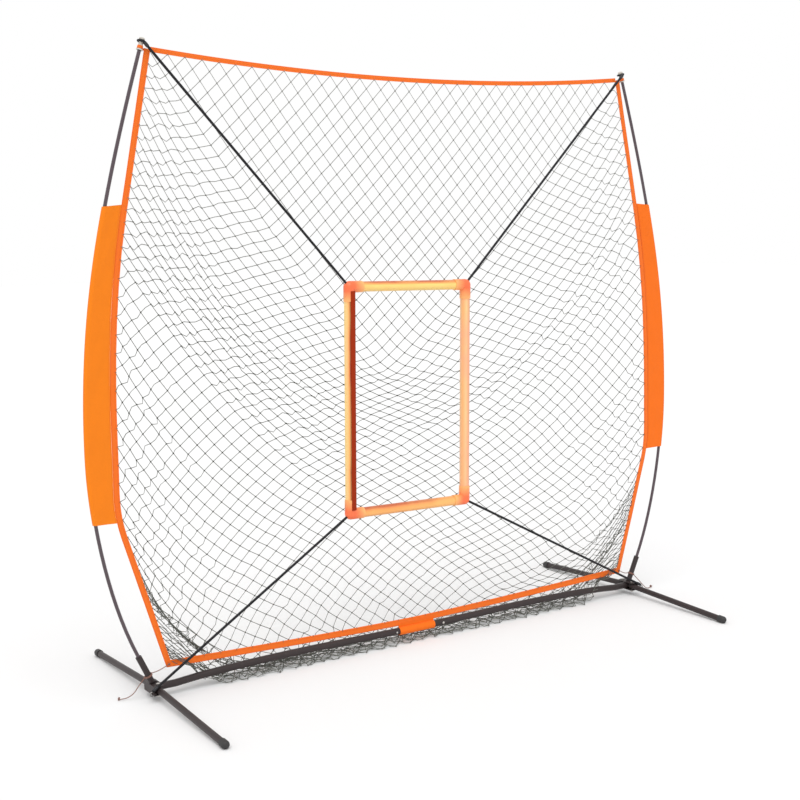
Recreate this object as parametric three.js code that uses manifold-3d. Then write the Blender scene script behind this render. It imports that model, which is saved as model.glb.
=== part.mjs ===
// Pitching target net: a bow-framed net on a folding steel base, with a strike-zone target on four bungees.
// Millimetres, +Z up. X runs across the net, -Y is the pitcher's side, +Y the side the net bags towards.
// The origin is on the floor, under the middle of the base bar. Side pieces are modelled at +X and mirrored.
import * as THREE from "three";
import { mergeVertices } from "three/addons/utils/BufferGeometryUtils.js";
import Module from "manifold-3d";

const wasm = await Module();
wasm.setup();

// ---- Fits and section counts ----
const GAP = 0.3; // between pieces that touch
const TUBE_SIDES = 16;
const ROD_SIDES = 10;
const CORD_SIDES = 8;
const LOOP_SIDES = 6;
const LOOP_TURNS = 14;

// ---- Base bar ----
const BAR_RADIUS = 12.5;
const BAR_WALL = 1.5;
const BAR_SHARES = [0, 0.237, 0.455, 0.682, 0.852]; // of the way from the middle to the hub
const BAR_HEIGHTS = [47.5, 49.5, 52, 49.5, 42.5]; // of its axis at each share: the poles bow it up
const BAR_END_LEVEL = [78, 40]; // level from here on, measured from the hub's centre
const SPIGOT_HALF = 130;
const SPIGOT_WALL = 1.5;
const BUTTON_X = -105;
const BUTTON_RADIUS = 3.5;
const BUTTON_PROUD = 3.5;
const BUTTON_FLANGE = 5;
const BUTTON_BASE = 1.6; // thickness of the flange under the button
const BUTTON_TRAVEL = 4;
const RIVET_X = 105;
const RIVET_RADIUS = 2.5;
const RIVET_HEAD = 4.5;
const SPRING_STRIP = 1;
const SPRING_WIDTH = 6;
const SPRING_LENGTH = 36;

// ---- Hubs ----
const HUB_X = 1056;
const HUB_Z = 36;
const PLATE = 3;
const PIN_Y = 28; // leg pivots stand this far in front of and behind the bar
const PLATE_REACH_IN = 16; // from the hub's centre, towards the middle
const PLATE_CORNER = 12;
const PLATE_HALF_Y = 43;
const WEB_SPACE = 17; // from the pivots to the web at the hub's outer side
const LUG_Y = -50;
const LUG_DROP = 18.3; // below the upper plate's top
const LUG_REACH = 12;
const LUG_WIDTH = 16;
const LUG_HOLE = 3.4;
const BOLT_RADIUS = 4;
const BOLT_HEAD = 6.5;
const BOLT_HEAD_HEIGHT = 5;
const NUT_HEIGHT = 6;
const BOLT_STICKS_OUT = 1.5; // past the nut

// ---- Legs ----
const LEG_RADIUS = 11;
const LEG_WALL = 1.5;
const LEG_TAIL = 9; // past the pivot, inside the hub
const LEG_REACH = 545; // from the bar's axis to the end of the cap
const CAP_RADIUS = 13.5;
const CAP_LENGTH = 34;
const CAP_DOME = 11;
const CAP_FLOOR = 7; // solid end of the cap, past the tube
const CAP_CENTRE_Z = 12.3; // the caps are flattened where they stand

// ---- Poles ----
const POLE_RADIUS = 6;
const POLE_STEPS = 22;
const POLE_LEAN = 24.8; // degrees out, at the socket
const SOCKET_LENGTH = 125; // from the hub's centre, along the lean
const SOCKET_WALL = 4;
const SOCKET_GAP = 0.5;
const GUSSET_RISE = 17; // above the hub's top plate
const POLE_START = 29; // the pole's foot, from the hub's centre along the lean
const POLE_TOP_Z = 2134;
const POLE_TOP_OUT = -51.3; // from the hub's centre, away from the middle
const POLE_APEX_OUT = 191.3;
const POLE_APEX_SHARE = 0.385; // of the poles' height
const POLE_TIP_LEAN = 17.3; // degrees in, at the top
const POLE_HANDLE_SHARES = [0.116, 0.074, 0.2, 0.282]; // of the poles' height
const FERRULE_HALF = 45;
const FERRULE_GAP = 0.4;
const FERRULE_WALL = 1;
const TIP_LENGTH = 40;
const TIP_RADIUS = 7.5;
const TIP_COLLAR = 11;
const TIP_HEAD = 9.5;
const TIP_HEAD_HEIGHT = 8;

// ---- Net and its tapes ----
const TAPE_WIDTH = 21;
const TAPE_THICK = 3;
const SIDE_OUT = [-52, 81.5, 100, 38, -66]; // bottom corner, two bends with the widest place between, top corner
const SIDE_SHARES = [0, 0.2209, 0.3372, 0.7278, 0.9838]; // of the height from the bottom corner to the pole's top
const BOTTOM_CORNER_RISE = 70; // above the hub's centre
const SIDE_HANDLE_SHARES = [0.0445, 0.0375, 0.0937, 0.1406];
const BOTTOM_SAG = 27;
const TOP_SAG = 48;
const TOP_TAPE_WIDTH = 16;
const BOTTOM_TAPE_WIDTH = 24;
const NET_DEPTH = 150; // where it bags out furthest behind the frame
const NET_SAG = [ // rise up the net, and its share of that depth on the middle line
  [0, 0], [0.015, 0.81], [0.055, 1], [0.105, 0.93], [0.156, 0.86], [0.256, 0.77], [0.307, 0.78], [0.357, 0.85],
  [0.407, 0.96], [0.457, 0.96], [0.508, 0.86], [0.558, 0.77], [0.658, 0.58], [0.759, 0.41], [0.859, 0.24], [1, 0],
];
const NET_THICK = 1.2;
const NET_COLUMNS = 22;
const NET_ROWS = 18;
const SLACK_SPLIT_IN = 581; // from the hub's centre: the slack on the floor is in three lengths
const SLACK_END_IN = 131;
const SLACK_DEPTH = 122;
const SLACK_MIDDLE_DEPTH = 176;
const SLACK_TOP = 62;
const SLEEVE_FABRIC = 1.2;
const SLEEVE_STEPS = 11;
const SLEEVE_INNER_SHARES = [0.283, 0.7577];
const SLEEVE_OUTER_SHARES = [0.2845, 0.7554];
const WRAP_X = -12;
const WRAP_HALF = 78;
const WRAP_FABRIC = 2;
const WRAP_SLACK = 1.2;
const LOOP_HEIGHT = 9;
const TIE_RADIUS = 1.5;
const TIE_KNOT = 4;
const TIE_LOOP_AT = 49; // from the hub's centre, up the socket
const TAIL_SEAT = 2.4; // from the middle of the loop's cord to the start of the tail
const TAIL_KNOT = 3.2;
const TAIL_ROUTES = { // each point's distance past the hub, y and z, from the loop down to the floor
  left: [[50, 12, 48], [66, 25, 20], [86, 36, 6], [107, 44, 4]],
  right: [[57, -11, 46], [80, -17, 20], [104, -10, 6], [134, 0, 4]],
};

// ---- Strike-zone target ----
const TARGET_X = -27; // it hangs a little left of the middle
const TARGET_Z = 919;
const TARGET_WIDTH = 504; // between the bars' axes
const TARGET_HEIGHT = 812;
const TARGET_TILT = 1.1; // degrees: its top leans to the right on the elastic cords
const TARGET_BAR = 18.3;
const TARGET_WALL = 2;
const ELBOW_WALL = 2;
const ELBOW_REACH = 52;
const ELBOW_INSERT = 30;
const BUNGEE_RADIUS = 4.5;
const BUNGEE_KNOT = 8;
const TIP_RING_CORD = 3.6;
const HUB_RING_RADIUS = 6.8;
const HUB_RING_WIRE = 2;

// ---- Small helpers ----
const at = (x, y, z) => new THREE.Vector3(x, y, z);
const point2 = ([x, y]) => new THREE.Vector2(x, y);
const radians = THREE.MathUtils.degToRad;

// A closed geometry as a manifold-3d solid.
function solid(geometry) {
  const bare = geometry.clone();
  bare.deleteAttribute("normal");
  bare.deleteAttribute("uv");
  const merged = mergeVertices(bare, 1e-4);
  return new wasm.Manifold(
    new wasm.Mesh({
      numProp: 3,
      vertProperties: new Float32Array(merged.attributes.position.array),
      triVerts: new Uint32Array(merged.index.array),
    }),
  );
}

// A solid back as a geometry.
function geometryOf(body) {
  const mesh = body.getMesh();
  const geometry = new THREE.BufferGeometry();
  geometry.setAttribute("position", new THREE.BufferAttribute(new Float32Array(mesh.vertProperties), 3));
  geometry.setIndex(new THREE.BufferAttribute(new Uint32Array(mesh.triVerts), 1));
  geometry.computeVertexNormals();
  return geometry;
}

const join = (...geometries) => geometries.map(solid).reduce((all, one) => all.add(one));
const cut = (body, ...tools) => tools.map(solid).reduce((left, tool) => left.subtract(tool), body);

// Turns a geometry made along Y so that it runs from a point in a direction.
function along(geometry, origin, direction) {
  const turn = new THREE.Quaternion().setFromUnitVectors(at(0, 1, 0), direction.clone().normalize());
  return geometry.applyQuaternion(turn).translate(origin.x, origin.y, origin.z);
}

// A solid of revolution: [radius, height] points from axis to axis, along a direction.
function revolve(profile, origin, direction, sides = TUBE_SIDES) {
  return along(new THREE.LatheGeometry(profile.map(point2), sides), origin, direction);
}

// A round rod from one point to another, longer at each end by extra.
function rod(from, to, radius, sides = TUBE_SIDES, extra = 0) {
  const line = to.clone().sub(from);
  const length = line.length() + 2 * extra;
  const centre = from.clone().add(to).multiplyScalar(0.5);
  return along(new THREE.CylinderGeometry(radius, radius, length, sides), centre, line);
}

function block(low, high) {
  const size = high.map((v, i) => v - low[i]);
  const box = new THREE.BoxGeometry(...size);
  return box.translate(...low.map((v, i) => v + size[i] / 2));
}

function roundSection(outer, inner, sides) {
  const ring = (radius) =>
    Array.from({ length: sides }, (_, i) => {
      const angle = (2 * Math.PI * i) / sides;
      return new THREE.Vector2(radius * Math.cos(angle), radius * Math.sin(angle));
    });
  const section = new THREE.Shape(ring(outer));
  if (inner) section.holes.push(new THREE.Path(ring(inner)));
  return section;
}

// A round tube or rod swept along a curve.
function sweep(curve, outer, inner, sides, steps) {
  const section = roundSection(outer, inner, sides);
  return new THREE.ExtrudeGeometry(section, { steps, extrudePath: curve, bevelEnabled: false });
}

// Part of a curve, by shares of its length.
class Stretch extends THREE.Curve {
  constructor(whole, from, to) {
    super();
    Object.assign(this, { whole, from, to });
  }

  getPoint(t, target = at(0, 0, 0)) {
    return target.copy(this.whole.getPointAt(THREE.MathUtils.lerp(this.from, this.to, t)));
  }
}

// The share of a rising curve's length at which it reaches a height.
function shareAtHeight(curve, z) {
  let [low, high] = [0, 1];
  for (let i = 0; i < 40; i++) {
    const middle = (low + high) / 2;
    if (curve.getPointAt(middle).z < z) low = middle;
    else high = middle;
  }
  return low;
}

// A flat outline in X and Z, extruded to a thickness about a plane at y.
function plate(outline, thick, y = 0) {
  const shape = new THREE.Shape(outline.map(point2));
  const body = new THREE.ExtrudeGeometry(shape, { depth: thick, bevelEnabled: false });
  return body.rotateX(Math.PI / 2).translate(0, y + thick / 2, 0);
}

// An outline in Y and Z, extruded from one x to another.
function profileAlongX(outline, from, to) {
  const shape = new THREE.Shape(outline.map(point2));
  const body = new THREE.ExtrudeGeometry(shape, { depth: to - from, bevelEnabled: false });
  return body.rotateX(Math.PI / 2).rotateZ(Math.PI / 2).translate(from, 0, 0);
}

function ringAbout(centre, axis, radius, wire) {
  const torus = new THREE.TorusGeometry(radius, wire, LOOP_SIDES, LOOP_TURNS);
  const turn = new THREE.Quaternion().setFromUnitVectors(at(0, 0, 1), axis.clone().normalize());
  return torus.applyQuaternion(turn).translate(centre.x, centre.y, centre.z);
}

const ball = (centre, radius, sides = CORD_SIDES) =>
  new THREE.SphereGeometry(radius, sides, Math.ceil(sides / 2)).translate(centre.x, centre.y, centre.z);

// ---- Finishes ----
const finish = (color, roughness, metalness = 0) =>
  new THREE.MeshStandardMaterial({ color, roughness, metalness });
const finishes = {
  steel: () => finish(0x3a3433, 0.5, 0.3),
  zinc: () => finish(0x9a9c9e, 0.35, 1),
  rubber: () => finish(0x2c2827, 0.8),
  fibreglass: () => finish(0x4a3a40, 0.35),
  alloy: () => finish(0xb4b6ba, 0.3, 1),
  tip: () => finish(0xe8e6e2, 0.5),
  tape: () => finish(0xff7830, 0.8),
  sleeve: () => finish(0xff8426, 0.75),
  netting: () => finish(0x2b2e2c, 0.85),
  target: () => finish(0xffc08a, 0.45),
  elbow: () => finish(0xe8553c, 0.5),
  bungee: () => finish(0x191818, 0.8),
  tie: () => finish(0x6d4a48, 0.8),
};

const net = new THREE.Group();

function add(group, name, shape, kind) {
  const geometry = shape.isBufferGeometry ? shape : geometryOf(shape);
  const mesh = new THREE.Mesh(geometry, finishes[kind]());
  mesh.name = name;
  group.add(mesh);
}

// ---- Curves that the pieces share ----
const webInner = HUB_X + WEB_SPACE;
const barEnd = webInner - GAP;
const plateInnerX = HUB_X - PLATE_REACH_IN;
const plateTop = HUB_Z + BAR_RADIUS + GAP + PLATE;
const plateBottom = HUB_Z - BAR_RADIUS - GAP - PLATE;

const barLevel = BAR_END_LEVEL.map((reach) => [HUB_X - reach, HUB_Z]);
const barBow = BAR_SHARES.map((share, i) => [share * HUB_X, BAR_HEIGHTS[i]]);
const barSide = [...barBow.slice(1), ...barLevel, [barEnd, HUB_Z]];
const barCurve = new THREE.CatmullRomCurve3(
  [
    ...barSide.map(([x, z]) => at(-x, 0, z)).reverse(),
    ...[barBow[0], ...barSide].map(([x, z]) => at(x, 0, z)),
  ],
  false,
  "centripetal",
);
const barShare = (x) => 0.5 + (0.5 * x) / barEnd; // the bar is so nearly straight that x is its length
const barPoint = (x) => barCurve.getPointAt(barShare(x));

const poleOut = at(Math.sin(radians(POLE_LEAN)), 0, Math.cos(radians(POLE_LEAN)));
const poleIn = at(-Math.sin(radians(POLE_TIP_LEAN)), 0, Math.cos(radians(POLE_TIP_LEAN)));
const hubCentre = at(HUB_X, 0, HUB_Z);
const socketTop = hubCentre.clone().addScaledVector(poleOut, SOCKET_LENGTH);
const poleFoot = hubCentre.clone().addScaledVector(poleOut, POLE_START);
const poleApex = at(HUB_X + POLE_APEX_OUT, 0, POLE_TOP_Z * POLE_APEX_SHARE);
const poleTop = at(HUB_X + POLE_TOP_OUT, 0, POLE_TOP_Z);
const poleHandles = POLE_HANDLE_SHARES.map((share) => share * POLE_TOP_Z);
const rodTop = poleTop.clone().addScaledVector(poleIn, -TIP_LENGTH / 2);
const poleCurve = new THREE.CurvePath();
poleCurve.add(new THREE.LineCurve3(poleFoot, socketTop));
poleCurve.add(
  new THREE.CubicBezierCurve3(
    socketTop,
    socketTop.clone().addScaledVector(poleOut, poleHandles[0]),
    poleApex.clone().add(at(0, 0, -poleHandles[1])),
    poleApex,
  ),
);
poleCurve.add(
  new THREE.CubicBezierCurve3(
    poleApex,
    poleApex.clone().add(at(0, 0, poleHandles[2])),
    rodTop.clone().addScaledVector(poleIn, TIP_LENGTH / 2 - poleHandles[3]),
    rodTop,
  ),
);
poleCurve.arcLengthDivisions = 400;

// The line of a side tape, from the bottom corner up to the top corner.
const bottomZ = HUB_Z + BOTTOM_CORNER_RISE;
const sidePoints = SIDE_OUT.map((out, i) =>
  point2([HUB_X + out, THREE.MathUtils.lerp(bottomZ, POLE_TOP_Z, SIDE_SHARES[i])]),
);
const [bottomCorner, lowerBend, widest, upperBend, topCorner] = sidePoints;
const sideHandles = SIDE_HANDLE_SHARES.map((share) => share * POLE_TOP_Z);
const lowerRun = lowerBend.clone().sub(bottomCorner).normalize();
const upperRun = topCorner.clone().sub(upperBend).normalize();
const upright = point2([0, 1]);
const handle = (from, run, length) => from.clone().addScaledVector(run, length).toArray();
const sideCurve = new THREE.Path();
sideCurve.moveTo(...bottomCorner);
sideCurve.lineTo(...lowerBend);
sideCurve.bezierCurveTo(
  ...handle(lowerBend, lowerRun, sideHandles[0]),
  ...handle(widest, upright, -sideHandles[1]),
  ...widest,
);
sideCurve.bezierCurveTo(
  ...handle(widest, upright, sideHandles[2]),
  ...handle(upperBend, upperRun, -sideHandles[3]),
  ...upperBend,
);
sideCurve.lineTo(...topCorner);
const sideLine = sideCurve.getPoints(8).map((p) => p.toArray());

// The side line moved sideways, towards the pole when distance is positive.
function besideLine(distance) {
  return sideLine.map((here, i) => {
    const before = point2(sideLine[Math.max(i - 1, 0)]);
    const after = point2(sideLine[Math.min(i + 1, sideLine.length - 1)]);
    const run = after.sub(before).normalize();
    return [here[0] + run.y * distance, here[1] - run.x * distance];
  });
}

// The x of a line of rising points at a height.
function xAtHeight(line, z) {
  const above = line.findIndex((p) => p[1] > z);
  const i = above < 0 ? line.length - 2 : Math.max(above - 1, 0);
  const [[x0, z0], [x1, z1]] = [line[i], line[i + 1]];
  return x0 + ((x1 - x0) * (z - z0)) / (z1 - z0);
}

const topLine = (x) => topCorner.y - TOP_SAG * (1 - (x / topCorner.x) ** 2);
const bottomLine = (x) => bottomCorner.y - BOTTOM_SAG * (1 - (Math.abs(x) / bottomCorner.x) ** 1.5);

// ---- Base bar, spigot and snap button ----
function buildBar() {
  const centre = barShare(0);
  const halfGap = barShare(GAP / 2) - centre;
  const drill = (x, radius) => rod(barPoint(x).setY(-2 * BAR_RADIUS), barPoint(x), radius, ROD_SIDES);
  const through = (x, radius) =>
    rod(barPoint(x).setY(-2 * BAR_RADIUS), barPoint(x).setY(2 * BAR_RADIUS), radius, ROD_SIDES);
  const half = (from, to) =>
    solid(sweep(new Stretch(barCurve, from, to), BAR_RADIUS, BAR_RADIUS - BAR_WALL, TUBE_SIDES, 12));
  add(net, "base_bar_left", cut(half(0, centre - halfGap), drill(BUTTON_X, BUTTON_RADIUS + GAP)), "steel");
  add(net, "base_bar_right", cut(half(centre + halfGap, 1), through(RIVET_X, RIVET_RADIUS + GAP)), "steel");

  const spigotRadius = BAR_RADIUS - BAR_WALL - GAP;
  const spigotCurve = new Stretch(barCurve, barShare(-SPIGOT_HALF), barShare(SPIGOT_HALF));
  const spigot = solid(sweep(spigotCurve, spigotRadius, spigotRadius - SPIGOT_WALL, TUBE_SIDES, 4));
  add(
    net,
    "base_spigot",
    cut(spigot, drill(BUTTON_X, BUTTON_RADIUS + GAP), through(RIVET_X, RIVET_RADIUS + GAP)),
    "zinc",
  );

  const headRim = BAR_RADIUS + 2 * GAP;
  const rivet = [
    [0, -headRim - 1.5], [RIVET_HEAD, -headRim], [RIVET_HEAD, -headRim + GAP], [RIVET_RADIUS, -headRim + GAP],
    [RIVET_RADIUS, headRim - GAP], [RIVET_HEAD, headRim - GAP], [RIVET_HEAD, headRim], [0, headRim + 1.5],
  ];
  add(net, "spigot_rivet", revolve(rivet, barPoint(RIVET_X), at(0, 1, 0), ROD_SIDES), "zinc");

  const boreWall = spigotRadius - SPIGOT_WALL;
  const shoulder = boreWall - 2 * GAP; // the flange stays just inside the spigot's wall
  const seatTop = Math.sqrt(shoulder ** 2 - BUTTON_FLANGE ** 2);
  const nose = BAR_RADIUS + BUTTON_PROUD;
  const button = [
    [0, seatTop - BUTTON_BASE], [BUTTON_FLANGE, seatTop - BUTTON_BASE], [BUTTON_FLANGE, seatTop],
    [BUTTON_RADIUS, seatTop],
    [BUTTON_RADIUS, nose - 1.5], [BUTTON_RADIUS * 0.7, nose - 0.4], [0, nose],
  ];
  add(net, "snap_button", revolve(button, barPoint(BUTTON_X), at(0, -1, 0), 12), "zinc");

  // The spring is a strip folded to a V: one arm under the button, the other on the wall opposite.
  const seat = -(seatTop - BUTTON_BASE) + GAP;
  const back = Math.sqrt((boreWall - GAP) ** 2 - (SPRING_WIDTH / 2) ** 2);
  const bend = BUTTON_X + SPRING_LENGTH;
  const strip = [
    [BUTTON_X - BUTTON_FLANGE, seat], [BUTTON_X + BUTTON_FLANGE, seat], [bend, back - 3 * SPRING_STRIP],
    [bend + SPRING_STRIP, back - SPRING_STRIP], [bend, back], [BUTTON_X - BUTTON_FLANGE, back],
    [BUTTON_X - BUTTON_FLANGE, back - SPRING_STRIP], [bend - 5 * SPRING_STRIP, back - SPRING_STRIP],
    [BUTTON_X + BUTTON_FLANGE - SPRING_STRIP, seat + SPRING_STRIP], [BUTTON_X - BUTTON_FLANGE, seat + SPRING_STRIP],
  ];
  const spring = new THREE.ExtrudeGeometry(
    new THREE.Shape(strip.map(point2)),
    { depth: SPRING_WIDTH, bevelEnabled: false },
  );
  add(net, "button_spring", spring.translate(0, 0, barPoint(BUTTON_X).z - SPRING_WIDTH / 2), "zinc");
}

// ---- Hub: a channel for the legs, with the pole socket, its gusset and the bungee's lug ----
function hubPlate(z) {
  const outer = webInner + PLATE;
  const shape = new THREE.Shape();
  shape.moveTo(outer, -PLATE_HALF_Y);
  shape.lineTo(outer, PLATE_HALF_Y);
  shape.lineTo(plateInnerX + PLATE_CORNER, PLATE_HALF_Y);
  shape.absarc(plateInnerX + PLATE_CORNER, PLATE_HALF_Y - PLATE_CORNER, PLATE_CORNER, Math.PI / 2, Math.PI);
  shape.absarc(plateInnerX + PLATE_CORNER, PLATE_CORNER - PLATE_HALF_Y, PLATE_CORNER, Math.PI, 1.5 * Math.PI);
  shape.closePath();
  const body = new THREE.ExtrudeGeometry(shape, { depth: PLATE, bevelEnabled: false, curveSegments: 4 });
  return body.translate(0, 0, z);
}

function buildHub(group, side) {
  const outer = webInner + PLATE;
  const bore = POLE_RADIUS + SOCKET_GAP;
  const socketFoot = hubCentre.clone().addScaledVector(poleOut, POLE_START - 2 * PLATE);
  const lugEnd = outer + LUG_REACH - LUG_WIDTH / 2;
  const gussetEdge = socketFoot.x + GUSSET_RISE * Math.tan(radians(POLE_LEAN));
  const gusset = [
    [plateInnerX + 2, plateTop - 1], [gussetEdge, plateTop - 1],
    [gussetEdge, plateTop + GUSSET_RISE], [gussetEdge - bore, plateTop + GUSSET_RISE],
  ];
  const lugTop = plateTop - LUG_DROP;
  const lugHole = at(lugEnd, LUG_Y, lugTop - PLATE / 2);
  const body = join(
    hubPlate(plateTop - PLATE),
    hubPlate(plateBottom),
    block([webInner, -PLATE_HALF_Y, plateBottom], [outer, PLATE_HALF_Y, plateTop]),
    rod(socketFoot, socketTop, bore + SOCKET_WALL),
    plate(gusset, PLATE),
    block([outer - 1, LUG_Y - LUG_WIDTH / 2, lugTop - PLATE], [lugEnd, LUG_WIDTH - PLATE_HALF_Y, lugTop]),
    rod(lugHole.clone().setZ(lugTop - PLATE), lugHole.clone().setZ(lugTop), LUG_WIDTH / 2, TUBE_SIDES),
  );
  const under = block(
    [plateInnerX - 1, -PLATE_HALF_Y, plateBottom + PLATE],
    [webInner, PLATE_HALF_Y, plateTop - PLATE],
  );
  const holes = [-PIN_Y, PIN_Y].map((y) =>
    rod(at(HUB_X, y, plateBottom), at(HUB_X, y, plateTop), BOLT_RADIUS + GAP, 12, 5),
  );
  const socketBottom = poleFoot.clone().addScaledVector(poleOut, -GAP);
  const pastMouth = socketTop.clone().addScaledVector(poleOut, 5);
  const eye = rod(lugHole, lugHole.clone().setZ(lugTop), LUG_HOLE, 12, 5);
  add(group, `hub_${side}`, cut(body, under, ...holes, rod(socketBottom, pastMouth, bore), eye), "steel");
}

// ---- Legs with their caps, bolts and nuts ----
function buildLeg(group, side, place, forward) {
  const pin = at(HUB_X, forward * PIN_Y, HUB_Z);
  const fall = (HUB_Z - CAP_CENTRE_Z) / (LEG_REACH - PIN_Y);
  const run = at(0, forward, -fall).normalize();
  const capEnd = at(HUB_X, forward * LEG_REACH, CAP_CENTRE_Z);
  const capStart = capEnd.clone().addScaledVector(run, -CAP_LENGTH);
  const tubeEnd = capEnd.clone().addScaledVector(run, -CAP_FLOOR - GAP);
  const tail = pin.clone().addScaledVector(run, -LEG_TAIL);
  const tube = solid(sweep(new THREE.LineCurve3(tail, tubeEnd), LEG_RADIUS, LEG_RADIUS - LEG_WALL, TUBE_SIDES, 1));
  const pivot = rod(at(pin.x, pin.y, plateBottom), at(pin.x, pin.y, plateTop), BOLT_RADIUS + GAP, 12);
  add(group, `leg_${place}_${side}`, cut(tube, pivot), "steel");

  const domeStart = CAP_LENGTH - CAP_DOME;
  const dome = [0, 25, 50, 70, 90].map((angle) => [
    CAP_RADIUS * Math.cos(radians(angle)) * (angle < 90 ? 1 : 0),
    domeStart + CAP_DOME * Math.sin(radians(angle)),
  ]);
  const bore = LEG_RADIUS + GAP;
  const profile = [[0, CAP_LENGTH - CAP_FLOOR], [bore, CAP_LENGTH - CAP_FLOOR], [bore, 0], [CAP_RADIUS, 0], ...dome];
  const ground = block(
    [HUB_X - 2 * CAP_RADIUS, capEnd.y - 2 * CAP_LENGTH, -2 * CAP_RADIUS],
    [HUB_X + 2 * CAP_RADIUS, capEnd.y + 2 * CAP_LENGTH, 0],
  );
  add(group, `leg_cap_${place}_${side}`, cut(solid(revolve(profile, capStart, run)), ground), "rubber");

  const boltEnd = plateBottom - GAP - NUT_HEIGHT - BOLT_STICKS_OUT;
  const headBase = plateTop + GAP;
  const shank = rod(at(pin.x, pin.y, boltEnd), at(pin.x, pin.y, headBase + 1), BOLT_RADIUS, 12);
  const head = rod(at(pin.x, pin.y, headBase), at(pin.x, pin.y, headBase + BOLT_HEAD_HEIGHT), BOLT_HEAD, 6);
  add(group, `pivot_bolt_${place}_${side}`, join(shank, head), "zinc");
  const nutTop = plateBottom - GAP;
  const nut = solid(rod(at(pin.x, pin.y, nutTop - NUT_HEIGHT), at(pin.x, pin.y, nutTop), BOLT_HEAD, 6));
  const thread = rod(at(pin.x, pin.y, nutTop - NUT_HEIGHT), at(pin.x, pin.y, nutTop), BOLT_RADIUS + GAP, 12, 2);
  add(group, `pivot_nut_${place}_${side}`, cut(nut, thread), "zinc");
}

// ---- Poles ----
const poleJoint = 0.5;
const poleLength = poleCurve.getLength();
const tipBase = rodTop.clone().addScaledVector(poleIn, -TIP_LENGTH / 2 - GAP);

function buildPole(group, side) {
  const split = GAP / 2 / poleLength;
  const piece = (from, to) => sweep(new Stretch(poleCurve, from, to), POLE_RADIUS, 0, ROD_SIDES, POLE_STEPS);
  add(group, `pole_lower_${side}`, piece(0, poleJoint - split), "fibreglass");
  add(group, `pole_upper_${side}`, piece(poleJoint + split, 1), "fibreglass");
  const half = FERRULE_HALF / poleLength;
  const ferruleBore = POLE_RADIUS + FERRULE_GAP;
  const ferrule = sweep(
    new Stretch(poleCurve, poleJoint - half, poleJoint + half),
    ferruleBore + FERRULE_WALL,
    ferruleBore,
    ROD_SIDES,
    3,
  );
  add(group, `pole_ferrule_${side}`, ferrule, "alloy");
  const top = TIP_LENGTH + GAP;
  const socket = TIP_LENGTH / 2 + GAP + GAP;
  const bore = POLE_RADIUS + GAP;
  const profile = [
    [0, socket], [bore, socket], [bore, 0], [TIP_COLLAR, 0], [TIP_COLLAR, 3], [TIP_RADIUS, 5],
    [TIP_RADIUS, top - TIP_HEAD_HEIGHT], [TIP_HEAD, top - 6], [TIP_HEAD, top - 2], [TIP_HEAD * 0.7, top], [0, top],
  ];
  add(group, `pole_tip_${side}`, revolve(profile, tipBase, poleIn), "tip");
}

// ---- Tapes, sleeves and wrap ----
function buildSideTape(group, side) {
  const inner = besideLine(-TAPE_WIDTH / 2);
  const outer = besideLine(TAPE_WIDTH / 2);
  add(group, `side_tape_${side}`, plate([...inner, ...outer.reverse()], TAPE_THICK), "tape");
}

function buildLevelTape(name, line, width, points) {
  const inner = besideLine(-TAPE_WIDTH / 2 - GAP);
  const edge = (offset) => {
    const corner = xAtHeight(inner, line(bottomCorner.x) + offset);
    return Array.from({ length: points }, (_, i) => {
      const x = THREE.MathUtils.lerp(-corner, corner, i / (points - 1));
      return [x, line(x) + offset];
    });
  };
  add(net, name, plate([...edge(-width / 2), ...edge(width / 2).reverse()], TAPE_THICK), "tape");
}

function buildSleeve(group, side) {
  const seam = besideLine(TAPE_WIDTH / 2 + GAP);
  const [low, high] = SLEEVE_INNER_SHARES.map((share) => share * POLE_TOP_Z);
  const inner = [
    [xAtHeight(seam, low), low],
    ...seam.filter(([, z]) => z > low + 5 && z < high - 5),
    [xAtHeight(seam, high), high],
  ];
  const [from, to] = SLEEVE_OUTER_SHARES.map((share) => shareAtHeight(poleCurve, share * POLE_TOP_Z));
  const run = new Stretch(poleCurve, from, to);
  const outer = Array.from({ length: SLEEVE_STEPS + 1 }, (_, i) => run.getPoint(i / SLEEVE_STEPS));
  const tunnel = POLE_RADIUS + FERRULE_GAP + FERRULE_WALL + GAP;
  const pastEnds = new Stretch(poleCurve, from - 0.01, to + 0.01);
  const body = join(
    plate([...inner, ...outer.reverse().map((p) => [p.x, p.z])], 2 * SLEEVE_FABRIC),
    sweep(run, tunnel + SLEEVE_FABRIC, 0, ROD_SIDES, SLEEVE_STEPS),
  );
  add(group, `pole_sleeve_${side}`, cut(body, sweep(pastEnds, tunnel, 0, ROD_SIDES, SLEEVE_STEPS + 2)), "sleeve");
}

// Fabric that passes round the bar and is sewn to the back of the bottom tape.
function buildWrap() {
  const inner = BAR_RADIUS + WRAP_SLACK;
  const outer = inner + WRAP_FABRIC;
  const centre = barPoint(WRAP_X).z;
  const tapeEdge = bottomLine(WRAP_X) - BOTTOM_TAPE_WIDTH / 2 - GAP;
  const neck = Math.PI / 2 - Math.asin(WRAP_FABRIC / outer);
  const turn = Array.from({ length: 17 }, (_, i) => {
    const angle = neck - ((2 * Math.PI - 2 * (Math.PI / 2 - neck)) * i) / 16;
    return [outer * Math.cos(angle), centre + outer * Math.sin(angle)];
  });
  const outline = [[WRAP_FABRIC, tapeEdge], ...turn, [-WRAP_FABRIC, tapeEdge]];
  const low = WRAP_X - WRAP_HALF;
  const high = WRAP_X + WRAP_HALF;
  const hole = rod(at(low, 0, centre), at(high, 0, centre), inner, TUBE_SIDES, 5);
  add(net, "center_wrap", cut(solid(profileAlongX(outline, low, high)), hole), "tape");
}

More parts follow.
